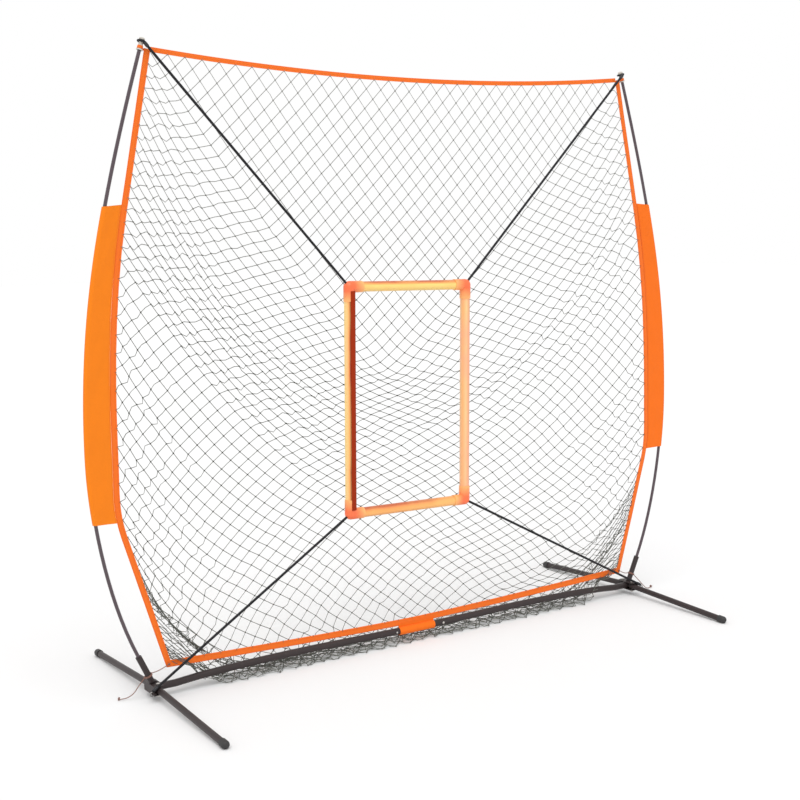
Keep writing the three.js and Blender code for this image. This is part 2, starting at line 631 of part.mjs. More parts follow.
// ---- Netting ----
// How far behind the frame the net hangs: share is -1 to 1 across it, rise 0 to 1 up it.
function bagDepth(share, rise) {
  const above = Math.max(1, NET_SAG.findIndex(([height]) => height >= rise));
  const [[low, lowShare], [high, highShare]] = NET_SAG.slice(above - 1, above + 1);
  const up = THREE.MathUtils.mapLinear(rise, low, high, lowShare, highShare);
  return NET_DEPTH * (1 - Math.abs(share) ** 2.6) * up;
}

function bagPoint(share, rise) {
  const sideZ = THREE.MathUtils.lerp(bottomCorner.y, topCorner.y, rise);
  const x = share * (xAtHeight(sideLine, sideZ) - 2 * GAP);
  const z = THREE.MathUtils.lerp(bottomLine(x), topLine(x), rise);
  return at(x, TAPE_THICK / 2 + GAP + bagDepth(share, rise), z);
}

function netSheet() {
  const spread = (i) => -Math.cos((Math.PI * i) / NET_COLUMNS); // closer columns near the sides
  const rises = Array.from({ length: NET_ROWS + 1 }, (_, j) => (j / NET_ROWS) ** 1.5);
  const front = [];
  for (const rise of rises)
    for (let i = 0; i <= NET_COLUMNS; i++) front.push(bagPoint(spread(i), rise));
  const across = NET_COLUMNS + 1;
  const normalAt = (i, j) => {
    const pick = (a, b) =>
      front[Math.min(Math.max(b, 0), NET_ROWS) * across + Math.min(Math.max(a, 0), NET_COLUMNS)];
    const u = pick(i + 1, j).clone().sub(pick(i - 1, j));
    const v = pick(i, j + 1).clone().sub(pick(i, j - 1));
    const rim = i === 0 || j === 0 || i === NET_COLUMNS || j === NET_ROWS;
    return rim ? at(0, 1, 0) : v.cross(u).normalize();
  };
  const back = front.map((p, k) =>
    p.clone().addScaledVector(normalAt(k % across, Math.floor(k / across)), NET_THICK),
  );
  const points = [...front, ...back];
  const faces = [];
  const quad = (a, b, c, d) => faces.push(a, b, c, a, c, d);
  const id = (i, j, layer) => layer * front.length + j * across + i;
  for (let j = 0; j < NET_ROWS; j++)
    for (let i = 0; i < NET_COLUMNS; i++) {
      quad(id(i, j, 0), id(i + 1, j, 0), id(i + 1, j + 1, 0), id(i, j + 1, 0));
      quad(id(i, j, 1), id(i, j + 1, 1), id(i + 1, j + 1, 1), id(i + 1, j, 1));
    }
  const wall = (a, b) => quad(id(...b, 0), id(...a, 0), id(...a, 1), id(...b, 1));
  for (let i = 0; i < NET_COLUMNS; i++) {
    wall([i, 0], [i + 1, 0]);
    wall([i + 1, NET_ROWS], [i, NET_ROWS]);
  }
  for (let j = 0; j < NET_ROWS; j++) {
    wall([NET_COLUMNS, j], [NET_COLUMNS, j + 1]);
    wall([0, j + 1], [0, j]);
  }
  const geometry = new THREE.BufferGeometry().setFromPoints(points);
  geometry.setIndex(faces);
  return geometry;
}

// The netting that lies slack on the floor behind the bar, as an outline in Y and Z.
const SLACK_FRONT = BAR_RADIUS + WRAP_SLACK + WRAP_FABRIC + 1;
const slackSplit = HUB_X - SLACK_SPLIT_IN;
const slackOutline = (top, depth) =>
  [
    [0, 0.3], [0.05, 0], [0.85, 0], [1, 0.2], [0.88, 0.48], [0.6, 0.72], [0.48, top / SLACK_TOP], [0.3, top / SLACK_TOP],
    [0.2, 0.8], [0.02, 0.68],
  ].map(([back, up]) => [SLACK_FRONT + back * (depth - SLACK_FRONT), GAP + up * SLACK_TOP]);

function buildNetting() {
  const meetsSheet = bagPoint(0, NET_SAG[1][0]).z; // the middle length hangs from the net itself
  const middle = profileAlongX(slackOutline(meetsSheet, SLACK_MIDDLE_DEPTH), -slackSplit, slackSplit);
  add(net, "net_bag", join(netSheet(), middle), "netting");
  for (const [side, sign] of [["left", -1], ["right", 1]]) {
    const ends = [sign * (slackSplit + GAP), sign * (HUB_X - SLACK_END_IN)].sort((a, b) => a - b);
    const slack = profileAlongX(slackOutline(SLACK_TOP, SLACK_DEPTH), ...ends);
    add(net, `net_slack_${side}`, slack, "netting");
  }
}

// ---- Loops and ties at the net's corners ----
function buildCornerLoop(group, side) {
  const bottom = tipBase.clone().addScaledVector(poleIn, 5 + GAP);
  const bore = TIP_RADIUS + GAP;
  const wall = TAPE_THICK / 2;
  const band = [[bore, 0], [bore + wall, 0], [bore + wall, LOOP_HEIGHT], [bore, LOOP_HEIGHT], [bore, 0]];
  const ring = revolve(band, bottom, poleIn);
  const y = TAPE_THICK + GAP;
  const start = bottom.clone().addScaledVector(poleIn, LOOP_HEIGHT / 2);
  const { x, y: z } = topCorner;
  const tongue = [
    [x + 5, z - 11], [start.x - bore - wall / 2, start.z - 6], [start.x - bore - wall / 2, start.z], [x + 5, z - 4],
  ];
  const through = rod(tipBase, poleTop, bore);
  add(group, `corner_loop_${side}`, cut(join(ring, plate(tongue, TAPE_THICK, y)), through), "tape");
}

const loopAt = hubCentre.clone().addScaledVector(poleOut, TIE_LOOP_AT);
const loopRadius = POLE_RADIUS + SOCKET_GAP + SOCKET_WALL + 2 * GAP + TIE_RADIUS;

function buildTie(group, side) {
  const { x, y: z } = bottomCorner;
  const knot = at(x, -TAPE_THICK / 2 - GAP - TIE_KNOT, z);
  const meets = loopAt.clone().add(at(0, loopRadius, 0));
  const halfway = knot.clone().lerp(meets, 0.5).add(at(0, 0, -5));
  const line = new THREE.CatmullRomCurve3([knot, halfway, meets]);
  const body = join(
    ball(knot, TIE_KNOT),
    sweep(line, TIE_RADIUS, 0, CORD_SIDES, 8),
    ringAbout(loopAt, poleOut, loopRadius, TIE_RADIUS),
  );
  add(group, `tie_cord_${side}`, body, "tie");
}

function buildTail(side, sign) {
  const below = at(poleOut.z, 0, -poleOut.x); // out of the loop, on its far side
  const start = loopAt.clone().addScaledVector(below, loopRadius + TAIL_SEAT);
  const route = [start, ...TAIL_ROUTES[side].map(([out, y, z]) => at(HUB_X + out, y, z))];
  for (const point of route) point.x *= sign;
  const line = new THREE.CatmullRomCurve3(route);
  const body = join(sweep(line, TIE_RADIUS, 0, CORD_SIDES, 16), ball(route[route.length - 1], TAIL_KNOT));
  add(net, `tie_tail_${side}`, body, "tie");
}

// ---- Strike-zone target: four bars in four elbows ----
const tilted = (x, z) => at(x, 0, z).applyAxisAngle(at(0, 1, 0), radians(TARGET_TILT));
const targetCorner = (sx, sz) =>
  tilted((sx * TARGET_WIDTH) / 2, (sz * TARGET_HEIGHT) / 2).add(at(TARGET_X, 0, TARGET_Z));
const word = (sx, sz) => `${sz > 0 ? "top" : "bottom"}_${sx < 0 ? "left" : "right"}`;
const hubLugX = webInner + PLATE + LUG_REACH - LUG_WIDTH / 2;
const hubRing = (sx) => at(sx * (hubLugX + HUB_RING_RADIUS), LUG_Y, plateTop - LUG_DROP - PLATE / 2);
const tipRing = (sx) => {
  const p = tipBase.clone().addScaledVector(poleIn, TIP_LENGTH - TIP_HEAD_HEIGHT - TIP_RING_CORD);
  return at(sx * p.x, 0, p.z);
};

// Where each bungee's cord meets its ring.
function bungeeStart(sx, sz) {
  if (sz > 0) return tipRing(sx).add(at(0, -(TIP_RADIUS + TAPE_THICK / 2 + 3 * GAP + BUNGEE_RADIUS), 0));
  return hubRing(sx).add(at(-sx * 2, 0, HUB_RING_RADIUS + BUNGEE_RADIUS / 2));
}

function buildTarget() {
  const bar = (from, to) => {
    const line = to.clone().sub(from).normalize();
    const ends = [from, to].map((p, i) => p.clone().addScaledVector(line, (i ? -1 : 1) * (ELBOW_REACH - ELBOW_INSERT)));
    return sweep(new THREE.LineCurve3(...ends), TARGET_BAR, TARGET_BAR - TARGET_WALL, TUBE_SIDES, 1);
  };
  add(net, "target_bar_top", bar(targetCorner(-1, 1), targetCorner(1, 1)), "target");
  add(net, "target_bar_bottom", bar(targetCorner(-1, -1), targetCorner(1, -1)), "target");
  add(net, "target_bar_left", bar(targetCorner(-1, -1), targetCorner(-1, 1)), "target");
  add(net, "target_bar_right", bar(targetCorner(1, -1), targetCorner(1, 1)), "target");
  const bore = TARGET_BAR + GAP;
  const shell = bore + ELBOW_WALL;
  for (const sx of [-1, 1])
    for (const sz of [-1, 1]) {
      const corner = targetCorner(sx, sz);
      const arms = [tilted(-sx, 0), tilted(0, -sz)].map((d) => corner.clone().addScaledVector(d, ELBOW_REACH));
      const body = join(
        ...arms.map((end) => rod(corner, end, shell)),
        ball(corner, shell, TUBE_SIDES),
      );
      const hollow = [...arms.map((end) => rod(corner, end, bore, TUBE_SIDES, 0.5)), ball(corner, bore, TUBE_SIDES)];
      const exit = bungeeStart(sx, sz).sub(corner).setLength(2 * shell).add(corner);
      add(net, `target_corner_${word(sx, sz)}`, cut(body, ...hollow, rod(corner, exit, BUNGEE_RADIUS + GAP, 12)), "elbow");
    }
}

function buildBungees() {
  for (const sx of [-1, 1])
    for (const sz of [-1, 1]) {
      const corner = targetCorner(sx, sz);
      const start = bungeeStart(sx, sz);
      const inward = corner.clone().sub(start).normalize();
      const knot = corner.clone().addScaledVector(inward, -(TARGET_BAR - BUNGEE_KNOT) + 1);
      const ring = sz > 0
        ? ringAbout(tipRing(sx), at(-sx * -poleIn.x, 0, poleIn.z), TIP_RADIUS + GAP + TIP_RING_CORD, TIP_RING_CORD)
        : ringAbout(hubRing(sx), at(0, 1, 0), HUB_RING_RADIUS, HUB_RING_WIRE);
      const cord = sweep(new THREE.LineCurve3(start, knot), BUNGEE_RADIUS, 0, CORD_SIDES, 1);
      add(net, `bungee_${word(sx, sz)}`, join(cord, ball(start, BUNGEE_RADIUS, CORD_SIDES), ball(knot, BUNGEE_KNOT), ring),
        "bungee");
    }
}

// ---- The whole net ----
buildBar();
for (const [side, sign] of [["left", -1], ["right", 1]]) {
  const group = new THREE.Group();
  group.scale.x = sign;
  buildHub(group, side);
  buildLeg(group, side, "front", -1);
  buildLeg(group, side, "rear", 1);
  buildPole(group, side);
  buildSideTape(group, side);
  buildSleeve(group, side);
  buildCornerLoop(group, side);
  buildTie(group, side);
  net.add(group);
  buildTail(side, sign);
}
buildLevelTape("top_tape", topLine, TOP_TAPE_WIDTH, 21);
buildLevelTape("bottom_tape", bottomLine, BOTTOM_TAPE_WIDTH, 21);
buildWrap();
buildNetting();
buildTarget();
buildBungees();

export default net;
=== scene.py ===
"""Pitching target net: netting, tapes, sleeves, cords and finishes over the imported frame."""
import math

import bpy
import numpy as np
from bpy.props import FloatProperty, FloatVectorProperty, IntProperty, PointerProperty
from mathutils import Matrix, Vector


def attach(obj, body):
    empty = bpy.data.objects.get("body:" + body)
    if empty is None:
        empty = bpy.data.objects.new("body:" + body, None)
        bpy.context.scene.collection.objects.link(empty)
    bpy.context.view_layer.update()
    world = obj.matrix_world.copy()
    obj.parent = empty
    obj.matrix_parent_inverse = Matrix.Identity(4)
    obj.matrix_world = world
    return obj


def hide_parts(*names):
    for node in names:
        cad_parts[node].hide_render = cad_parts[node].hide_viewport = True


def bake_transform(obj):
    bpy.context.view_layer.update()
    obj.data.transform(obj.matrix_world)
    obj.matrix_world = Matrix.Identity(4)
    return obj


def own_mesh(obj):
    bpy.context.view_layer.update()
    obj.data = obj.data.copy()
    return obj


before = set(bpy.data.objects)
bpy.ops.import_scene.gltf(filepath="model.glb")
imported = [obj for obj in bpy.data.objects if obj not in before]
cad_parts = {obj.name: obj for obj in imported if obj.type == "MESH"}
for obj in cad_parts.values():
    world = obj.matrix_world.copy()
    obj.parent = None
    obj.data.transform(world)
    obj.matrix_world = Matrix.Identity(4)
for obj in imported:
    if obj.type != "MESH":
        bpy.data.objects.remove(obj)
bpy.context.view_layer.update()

bl_info = {
    "name": "Pitching Target Net",
    "version": (1, 0, 0),
    "blender": (4, 5, 0),
    "location": "View3D > Sidebar > Target Net",
    "description": "Dresses a bow-framed pitching net: netting, tapes, sleeves, cords and finishes",
    "category": "Object",
}

# ---- Lines of the frame, in metres, for the right side ----
SIDE_LINE = [
    (1.004, 0.106), (1.1375, 0.554), (1.1461, 0.587), (1.1518, 0.618), (1.1553, 0.6475), (1.1569, 0.676),
    (1.1573, 0.704), (1.1569, 0.732), (1.1563, 0.7605), (1.156, 0.7898), (1.1558, 0.8692), (1.1546, 0.9566),
    (1.1519, 1.0508), (1.1471, 1.1506), (1.1395, 1.2548), (1.1286, 1.3622), (1.1136, 1.4717), (1.094, 1.582),
    (0.99, 2.1011),
]
POLE_LINE = [
    (1.0682, 0.0623), (1.1392, 0.2229), (1.1911, 0.3906), (1.2255, 0.5628), (1.2445, 0.7373), (1.2463, 0.9129),
    (1.2377, 1.0883), (1.2193, 1.2629), (1.1908, 1.4362), (1.1536, 1.6079), (1.11, 1.778), (1.0618, 1.9469),
    (1.0106, 2.1149),
]
TOP_SAG = 0.048
BOTTOM_SAG = 0.027
BAR_AXIS_Z = 0.0475

# Which way the right pole runs: leaning in at its tip, and leaning out where it leaves its socket.
POLE_IN = Vector((-0.2974, 0, 0.9548))
POLE_OUT = Vector((0.4195, 0, 0.9078))

# How the netting is shared out along each side tape: shares of its meshes, and of the tape's length.
GATHER_LEFT = ((0, 0.115, 0.345, 0.675, 1), (0, 0.03, 0.165, 0.67, 1))
GATHER_RIGHT = ((0, 0.115, 0.413, 0.602, 0.713, 0.8, 1), (0, 0.03, 0.187, 0.448, 0.629, 0.749, 1))

# The spare netting folded on the floor under the bar: how far back, and how high, row by row from the tape.
SLACK_FOLDS = [
    (0.0, 0.080), (0.017, 0.066), (0.025, 0.042), (0.018, 0.018), (-0.006, 0.008), (-0.026, 0.005),
    (-0.004, 0.010), (0.024, 0.012), (0.050, 0.006), (0.028, 0.016), (0.002, 0.021), (-0.020, 0.014),
    (0.002, 0.026), (0.030, 0.024), (0.058, 0.014), (0.034, 0.024), (0.058, 0.026),
]
# The folds rise into the tape again over the last FOLD_RISE before FOLD_END. Only out to FOLD_HELD are they
# laid as listed; beyond it the netting falls by itself.
FOLD_END = 1.0
FOLD_RISE = 0.2
FOLD_HELD = 0.86

# A folding leg sweeps over netting that lies lower than this, farther out than this, and on its own side of
# the floor line. Twine that reaches past the line by no more than the last value stays whole.
SWEEP_HEIGHT = 0.058
SWEEP_START = 0.475
SWEEP_PAST_LINE = 0.012

TAIL_ROUTES = {
    -1: [(-1.0902, 0, 0.0742), (-1.106, 0.012, 0.048), (-1.122, 0.025, 0.020), (-1.142, 0.036, 0.006),
         (-1.163, 0.044, 0.004)],
    1: [(1.0902, 0, 0.0742), (1.113, -0.011, 0.046), (1.136, -0.017, 0.020), (1.160, -0.010, 0.006),
        (1.190, 0, 0.004)],
}
TARGET_CENTRE = Vector((-0.027, 0, 0.919))
TARGET_SIZE = (0.504, 0.812)
TARGET_TILT = math.radians(1.1)
TARGET_BAR = 0.0183
ELBOW_RADIUS = 0.0206
TIP_RING = Vector((1.0083, 0, 2.1226))
HUB_RING = Vector((1.0868, -0.050, 0.0320))
TIE_LOOP = Vector((1.0766, 0, 0.0805))
TIE_LOOP_RADIUS = 0.0126

# What the falling net comes to rest on, besides the floor.
BAR_RADIUS = 0.0125
BAR_LENGTH = 2.05
LEG_RADIUS = 0.013
REAR_PIVOT = Vector((1.056, 0.02, 0.036))
REAR_FOOT = Vector((1.056, 0.545, 0.0125))

# The collars that close the bungees' rings: how far along the cord, and the radius there.
COLLAR = [
    (0.004, 0.0046), (0.0045, 0.0057), (0.008, 0.0061), (0.0085, 0.0055), (0.0095, 0.0055), (0.010, 0.0061),
    (0.0145, 0.0061), (0.0155, 0.0055), (0.0165, 0.0061), (0.021, 0.0060), (0.0218, 0.0054), (0.022, 0.0046),
]


def mirrored(point, side):
    return Vector((side * point[0], point[1], point[2]))


def target_corner(side, rise):
    half_width, half_height = TARGET_SIZE[0] / 2, TARGET_SIZE[1] / 2
    turned = Matrix.Rotation(TARGET_TILT, 3, "Y") @ Vector((side * half_width, 0, rise * half_height))
    return TARGET_CENTRE + turned


def bungee_start(side, rise):
    """Where an elastic cord leaves its ring at the pole tip or the hub."""
    if rise > 0:
        return mirrored(TIP_RING, side) - Vector((0, 0.0144, 0))
    return mirrored(HUB_RING, side) + Vector((-side * 0.002, 0, 0.00905))


# ---- Settings ----
def length(name, text, value, low=0.0, high=5.0):
    return FloatProperty(name=name, description=text, default=value, min=low, max=high, unit="LENGTH",
                         precision=4)


def count(name, text, value, low):
    return IntProperty(name=name, description=text, default=value, min=low)


def colour(name, text, value):
    return FloatVectorProperty(name=name, description=text, default=value, size=3, min=0, max=1,
                               subtype="COLOR")


class NetSizes(bpy.types.PropertyGroup):
    columns: count("Meshes Across", "Whole meshes from side tape to side tape", 33, 8)
    rows: count("Rows of Knots", "Half meshes from bottom to top tape", 104, 24)
    mesh_bar: length("Mesh Bar", "Twine from knot to knot", 0.045, 0.01, 0.2)
    twine: length("Twine", "Diameter of the netting twine", 0.0023, 0.0005, 0.01)
    knot: length("Knot", "Width of a knot", 0.0068, 0.001, 0.02)
    lean_back: FloatProperty(name="Lean Back", description="Pull that bags the net backwards", default=1.5,
                             unit="ACCELERATION")
    drop_frames: count("Drop Frames", "Simulated frames until the net hangs still", 260, 2)
    side_tape: length("Side Tape", "Width of the side tapes", 0.021)
    top_tape: length("Top Tape", "Width of the top tape", 0.016)
    bottom_tape: length("Bottom Tape", "Width of the bottom tape", 0.024)
    tape_thick: length("Tape Thickness", "Of the folded binding", 0.0030)
    bungee: length("Bungee", "Diameter of the elastic cord", 0.009)
    tie: length("Tie Cord", "Diameter of the corner ties", 0.003)


class NetColours(bpy.types.PropertyGroup):
    tape: colour("Tape", "Binding round the net", (1.0, 0.19, 0.020))
    sleeve: colour("Sleeve", "Fabric over the poles", (1.0, 0.245, 0.008))
    patch: colour("Patch", "Redder lot of the fabric: the right sleeve and the wrap", (1.0, 0.185, 0.010))
    thread: colour("Thread", "Sewing thread", (0.85, 0.12, 0.02))
    twine: colour("Twine", "Netting twine", (0.075, 0.078, 0.062))
    knot: colour("Knots", "Pulled-tight knots of the netting", (0.034, 0.036, 0.028))
    steel: colour("Steel", "Powder coat on the base", (0.036, 0.0265, 0.0265))
    pole: colour("Pole", "Fibreglass rods", (0.062, 0.040, 0.050))
    bungee: colour("Bungee", "Elastic cord", (0.012, 0.012, 0.014))
    tie: colour("Tie Cord", "Corner ties", (0.26, 0.135, 0.105))
    target: colour("Target Bars", "Skin of the strike-zone bars", (1.0, 0.47, 0.16))
    # A dark strip painted as shade along the left bar's right edge, on the bar's skin and on its flap.
    target_painted_shade: colour("Target Painted Shade", "Dark strip painted as shade along the left bar's right edge", (0.36, 0.030, 0.004))
    elbow: colour("Elbow", "Corners of the strike zone", (0.95, 0.17, 0.055))
    rubber: colour("Rubber", "Foot caps", (0.030, 0.029, 0.029))
    tip: colour("Pole Tip", "End caps of the poles", (0.62, 0.58, 0.52))


class NetStage(bpy.types.PropertyGroup):
    lens: FloatProperty(name="Lens", description="Focal length on a 36 mm sensor", default=58.4,
                        unit="CAMERA")
    floor: colour("Floor", "Colour of the floor", (0.86, 0.86, 0.86))
    sky: FloatProperty(name="Sky", description="Strength of the level light", default=0.80, min=0)
    lamp: FloatProperty(name="Lamp", description="Strength of the overhead lamp", default=1.5, min=0)


class NetSettings(bpy.types.PropertyGroup):
    sizes: PointerProperty(type=NetSizes)
    colours: PointerProperty(type=NetColours)
    stage: PointerProperty(type=NetStage)


# ---- Node graphs ----
class Graph:
    """A node tree being wired up; an input is named by its socket, or by its number as in i0."""

    def __init__(self, tree):
        self.tree = tree

    def add(self, kind, settings=None, **inputs):
        node = self.tree.nodes.new(kind)
        for key, value in (settings or {}).items():
            setattr(node, key, value)
        for key, value in inputs.items():
            socket = node.inputs[int(key[1:])] if key[0] == "i" and key[1:].isdigit() else node.inputs[key]
            self.feed(socket, value)
        return node

    def feed(self, socket, value):
        if isinstance(value, bpy.types.NodeSocket):
            self.tree.links.new(value, socket)
        elif socket.type == "RGBA":
            socket.default_value = (*value[:3], 1)
        else:
            socket.default_value = value

    def math(self, operation, *values):
        inputs = {f"i{index}": value for index, value in enumerate(values)}
        return self.add("ShaderNodeMath", {"operation": operation}, **inputs).outputs[0]


class Finish(Graph):
    """A material being wired up round its Principled shader."""

    def __init__(self, name, roughness=0.6, **values):
        self.material = bpy.data.materials.new(name)
        self.material.use_nodes = True
        super().__init__(self.material.node_tree)
        self.shader = self.tree.nodes["Principled BSDF"]
        self.shader.inputs["Roughness"].default_value = roughness
        for socket, value in values.items():
            self.shader.inputs[socket.replace("_", " ")].default_value = value

    def mix(self, factor, a, b):
        node = self.add("ShaderNodeMix", {"data_type": "RGBA"})
        for index, value in ((0, factor), (6, a), (7, b)):
            self.feed(node.inputs[index], value)
        return node.outputs[2]

    def ramp(self, factor, stops):
        node = self.add("ShaderNodeValToRGB", Fac=factor)
        marks = node.color_ramp.elements
        while len(marks) < len(stops):
            marks.new(0.5)
        for mark, (place, tone) in zip(marks, stops):
            mark.position = place
            mark.color = (*tone, 1) if hasattr(tone, "__len__") else (tone, tone, tone, 1)
        return node.outputs[0]

    def place(self):
        return self.add("ShaderNodeTexCoord").outputs["Object"]

    def strip(self):
        """Metres along and across a piece, from its own UV map."""
        split = self.add("ShaderNodeSeparateXYZ", Vector=self.add("ShaderNodeTexCoord").outputs["UV"])
        return split.outputs[0], split.outputs[1]

    def noise(self, scale, detail=3.0, stretch=None):
        vector = self.place()
        if stretch:
            vector = self.add("ShaderNodeMapping", Vector=vector, Scale=stretch).outputs[0]
        return self.add("ShaderNodeTexNoise", Vector=vector, Scale=scale, Detail=detail).outputs[0]

    def bump(self, height, distance, strength=1.0):
        bump = self.add("ShaderNodeBump", Height=height, Distance=distance, Strength=strength)
        if self.shader.inputs["Normal"].links:
            self.feed(bump.inputs["Normal"], self.shader.inputs["Normal"].links[0].from_socket)
        self.feed(self.shader.inputs["Normal"], bump.outputs[0])

    def base(self, tone):
        self.feed(self.shader.inputs["Base Color"], tone)

    def rough(self, value):
        self.feed(self.shader.inputs["Roughness"], value)


def shade(tone, factor):
    return tuple(min(1.0, c * factor) for c in tone)


def stitches(finish, across, along, place):
    """Dashes of thread on a line that runs along the strip."""
    pitch, dash_share, half_thread = 0.0045, 0.68, 0.00055
    gap = finish.math("ABSOLUTE", finish.math("SUBTRACT", across, place))
    near = finish.math("LESS_THAN", gap, half_thread)
    dash = finish.math("LESS_THAN", finish.math("FRACT", finish.math("DIVIDE", along, pitch)), dash_share)
    return finish.math("MULTIPLY", near, dash)


def woven(name, tone, thread, yarn, lines=()):
    """Plain-woven fabric on a strip's UV, with rows of stitching at the given distances across it."""
    finish = Finish(name, 0.78, Specular_IOR_Level=0.18, Sheen_Weight=0.05, Sheen_Roughness=0.5)
    along, across = finish.strip()
    turns = 2 * math.pi / yarn
    warp = finish.math("SINE", finish.math("MULTIPLY", along, turns))
    weft = finish.math("SINE", finish.math("MULTIPLY", across, turns))
    weave = finish.math("MULTIPLY", warp, weft)
    worn = finish.noise(9, 4)
    fine = finish.noise(160, 2)
    body = finish.mix(finish.math("MULTIPLY", worn, 0.5), shade(tone, 1.0), shade(tone, 0.86))
    body = finish.mix(finish.math("MULTIPLY", fine, 0.25), body, shade(tone, 0.72))
    weave_shade = finish.math("MULTIPLY_ADD", weave, 0.07, 0.07)
    body = finish.mix(weave_shade, body, shade(tone, 0.55))
    height = finish.math("MULTIPLY", weave, 0.5)
    for line in lines:
        sewn = stitches(finish, across, along, line)
        body = finish.mix(sewn, body, thread)
        height = finish.math("ADD", height, finish.math("MULTIPLY", sewn, 1.6))
    finish.base(body)
    finish.bump(height, 0.00035, 0.7)
    finish.bump(worn, 0.0012, 0.35)
    return finish.material


def braided(name, tone, diameter):
    """Braided cord: crossing strands on a tube's UV, in metres along and round it."""
    finish = Finish(name, 0.7, Specular_IOR_Level=0.3)
    along, around = finish.strip()
    pitch = 2 * math.pi / (diameter * 0.55)
    one = finish.math("SINE", finish.math("MULTIPLY", finish.math("ADD", along, around), pitch))
    two = finish.math("SINE", finish.math("MULTIPLY", finish.math("SUBTRACT", along, around), pitch))
    braid = finish.math("MULTIPLY", one, two)
    lifted = finish.math("MULTIPLY_ADD", braid, 0.5, 0.5)
    body = finish.mix(lifted, shade(tone, 0.6), shade(tone, 1.5))
    body = finish.mix(finish.math("MULTIPLY", finish.noise(40, 3), 0.4), body, shade(tone, 0.8))
    finish.base(body)
    finish.bump(lifted, diameter * 0.06, 0.8)
    return finish.material


def powder_coat(name, tone):
    finish = Finish(name, 0.46, Specular_IOR_Level=0.3)
    grain = finish.noise(900, 2)
    cloud = finish.noise(7, 4)
    scuff = finish.ramp(finish.noise(60, 6, (1, 1, 0.3)), [(0.62, 0.0), (0.78, 1.0)])
    body = finish.mix(cloud, shade(tone, 0.85), shade(tone, 1.2))
    finish.base(finish.mix(finish.math("MULTIPLY", scuff, 0.35), body, shade(tone, 2.6)))
    finish.rough(finish.ramp(cloud, [(0.3, 0.36), (0.7, 0.5)]))
    finish.bump(grain, 0.00012, 0.5)
    finish.bump(scuff, 0.0001, 0.3)
    return finish.material


def plated(name, tone, roughness=0.32):
    finish = Finish(name, roughness, Metallic=1.0)
    cloud = finish.noise(45, 5)
    finish.base(finish.mix(cloud, shade(tone, 0.8), shade(tone, 1.1)))
    finish.rough(finish.ramp(cloud, [(0.3, roughness - 0.08), (0.7, roughness + 0.12)]))
    finish.bump(finish.noise(380, 3), 0.0001, 0.4)
    return finish.material


def moulded(name, tone, roughness=0.45, speckle=0.12, grain=700, shine=0.5):
    finish = Finish(name, roughness, Specular_IOR_Level=shine)
    cloud = finish.noise(14, 4)
    spot = finish.noise(220, 3)
    body = finish.mix(cloud, shade(tone, 0.92), shade(tone, 1.06))
    finish.base(finish.mix(finish.math("MULTIPLY", spot, speckle), body, shade(tone, 0.6)))
    finish.rough(finish.ramp(cloud, [(0.3, roughness - 0.06), (0.7, roughness + 0.08)]))
    finish.bump(finish.noise(grain, 2), 0.00015, 0.4)
    return finish.material


def fibre_rod(name, tone):
    """Pultruded rod: long fibres under a clear gel coat."""
    finish = Finish(name, 0.34, Coat_Weight=0.35, Coat_Roughness=0.2)
    fibres = finish.noise(420, 4, (1, 1, 0.03))
    cloud = finish.noise(5, 3)
    body = finish.mix(fibres, shade(tone, 0.6), shade(tone, 1.6))
    finish.base(finish.mix(finish.math("MULTIPLY", cloud, 0.4), body, shade(tone, 0.8)))
    finish.bump(fibres, 0.00015, 0.4)
    return finish.material


def target_place(finish, offset=(0, 0)):
    """Object position in the strike zone's own turned frame, measured from a point of it."""
    centre = TARGET_CENTRE + Matrix.Rotation(TARGET_TILT, 3, "Y") @ Vector((offset[0], 0, offset[1]))
    return finish.add("ShaderNodeMapping", {"vector_type": "TEXTURE"}, Vector=finish.place(), Location=centre,
                      Rotation=(0, TARGET_TILT, 0)).outputs[0]


def target_skin(name, offset, across, stops, patch, much=0.6):
    """Vinyl round a bar, its tone changing across the bar along the given direction as painted highlight and
    painted shade, a little patchy.
    """
    finish = Finish(name, 0.38, Specular_IOR_Level=0.5, Coat_Weight=0.2, Coat_Roughness=0.25)
    reach = finish.add("ShaderNodeVectorMath", {"operation": "DOT_PRODUCT"}, i0=target_place(finish, offset),
                       i1=Vector(across).normalized()).outputs["Value"]
    wander = finish.math("MULTIPLY", finish.math("SUBTRACT", finish.noise(6, 2), 0.5), 0.2)
    from_middle = finish.math("ADD", finish.math("DIVIDE", reach, TARGET_BAR), wander)
    share = finish.math("MULTIPLY_ADD", from_middle, 0.5, 0.5)
    cloud = finish.noise(5, 3)
    patchy = finish.ramp(cloud, [(0.42, 0.0), (0.62, much)])
    finish.base(finish.mix(patchy, finish.ramp(share, stops), patch))
    finish.bump(finish.noise(500, 3), 0.0002, 0.35)
    finish.bump(cloud, 0.001, 0.25)
    return finish.material


def elbow_skin(name, tone, arm):
    """Moulded elbow: deep at the corner itself, fading into the tone of the bars along its arms."""
    finish = Finish(name, 0.36, Specular_IOR_Level=0.5)
    split = finish.add("ShaderNodeSeparateXYZ", Vector=target_place(finish))
    gaps = [finish.math("SUBTRACT", size / 2, finish.math("ABSOLUTE", split.outputs[axis]))
            for axis, size in ((0, TARGET_SIZE[0]), (2, TARGET_SIZE[1]))]
    squares = [finish.math("POWER", finish.math("MAXIMUM", gap, 0.0), 2.0) for gap in gaps]
    away, fade = finish.math("SQRT", finish.math("ADD", *squares)), 0.06
    cloud = finish.noise(30, 3)
    away = finish.math("ADD", finish.math("DIVIDE", away, fade), finish.math("MULTIPLY", cloud, 0.3))
    middle = tuple((a + b) / 2 for a, b in zip(tone, arm))
    finish.base(finish.ramp(away, [(0.4, tone), (0.7, middle), (1.0, arm)]))
    finish.bump(finish.noise(500, 2), 0.00015, 0.4)
    return finish.material


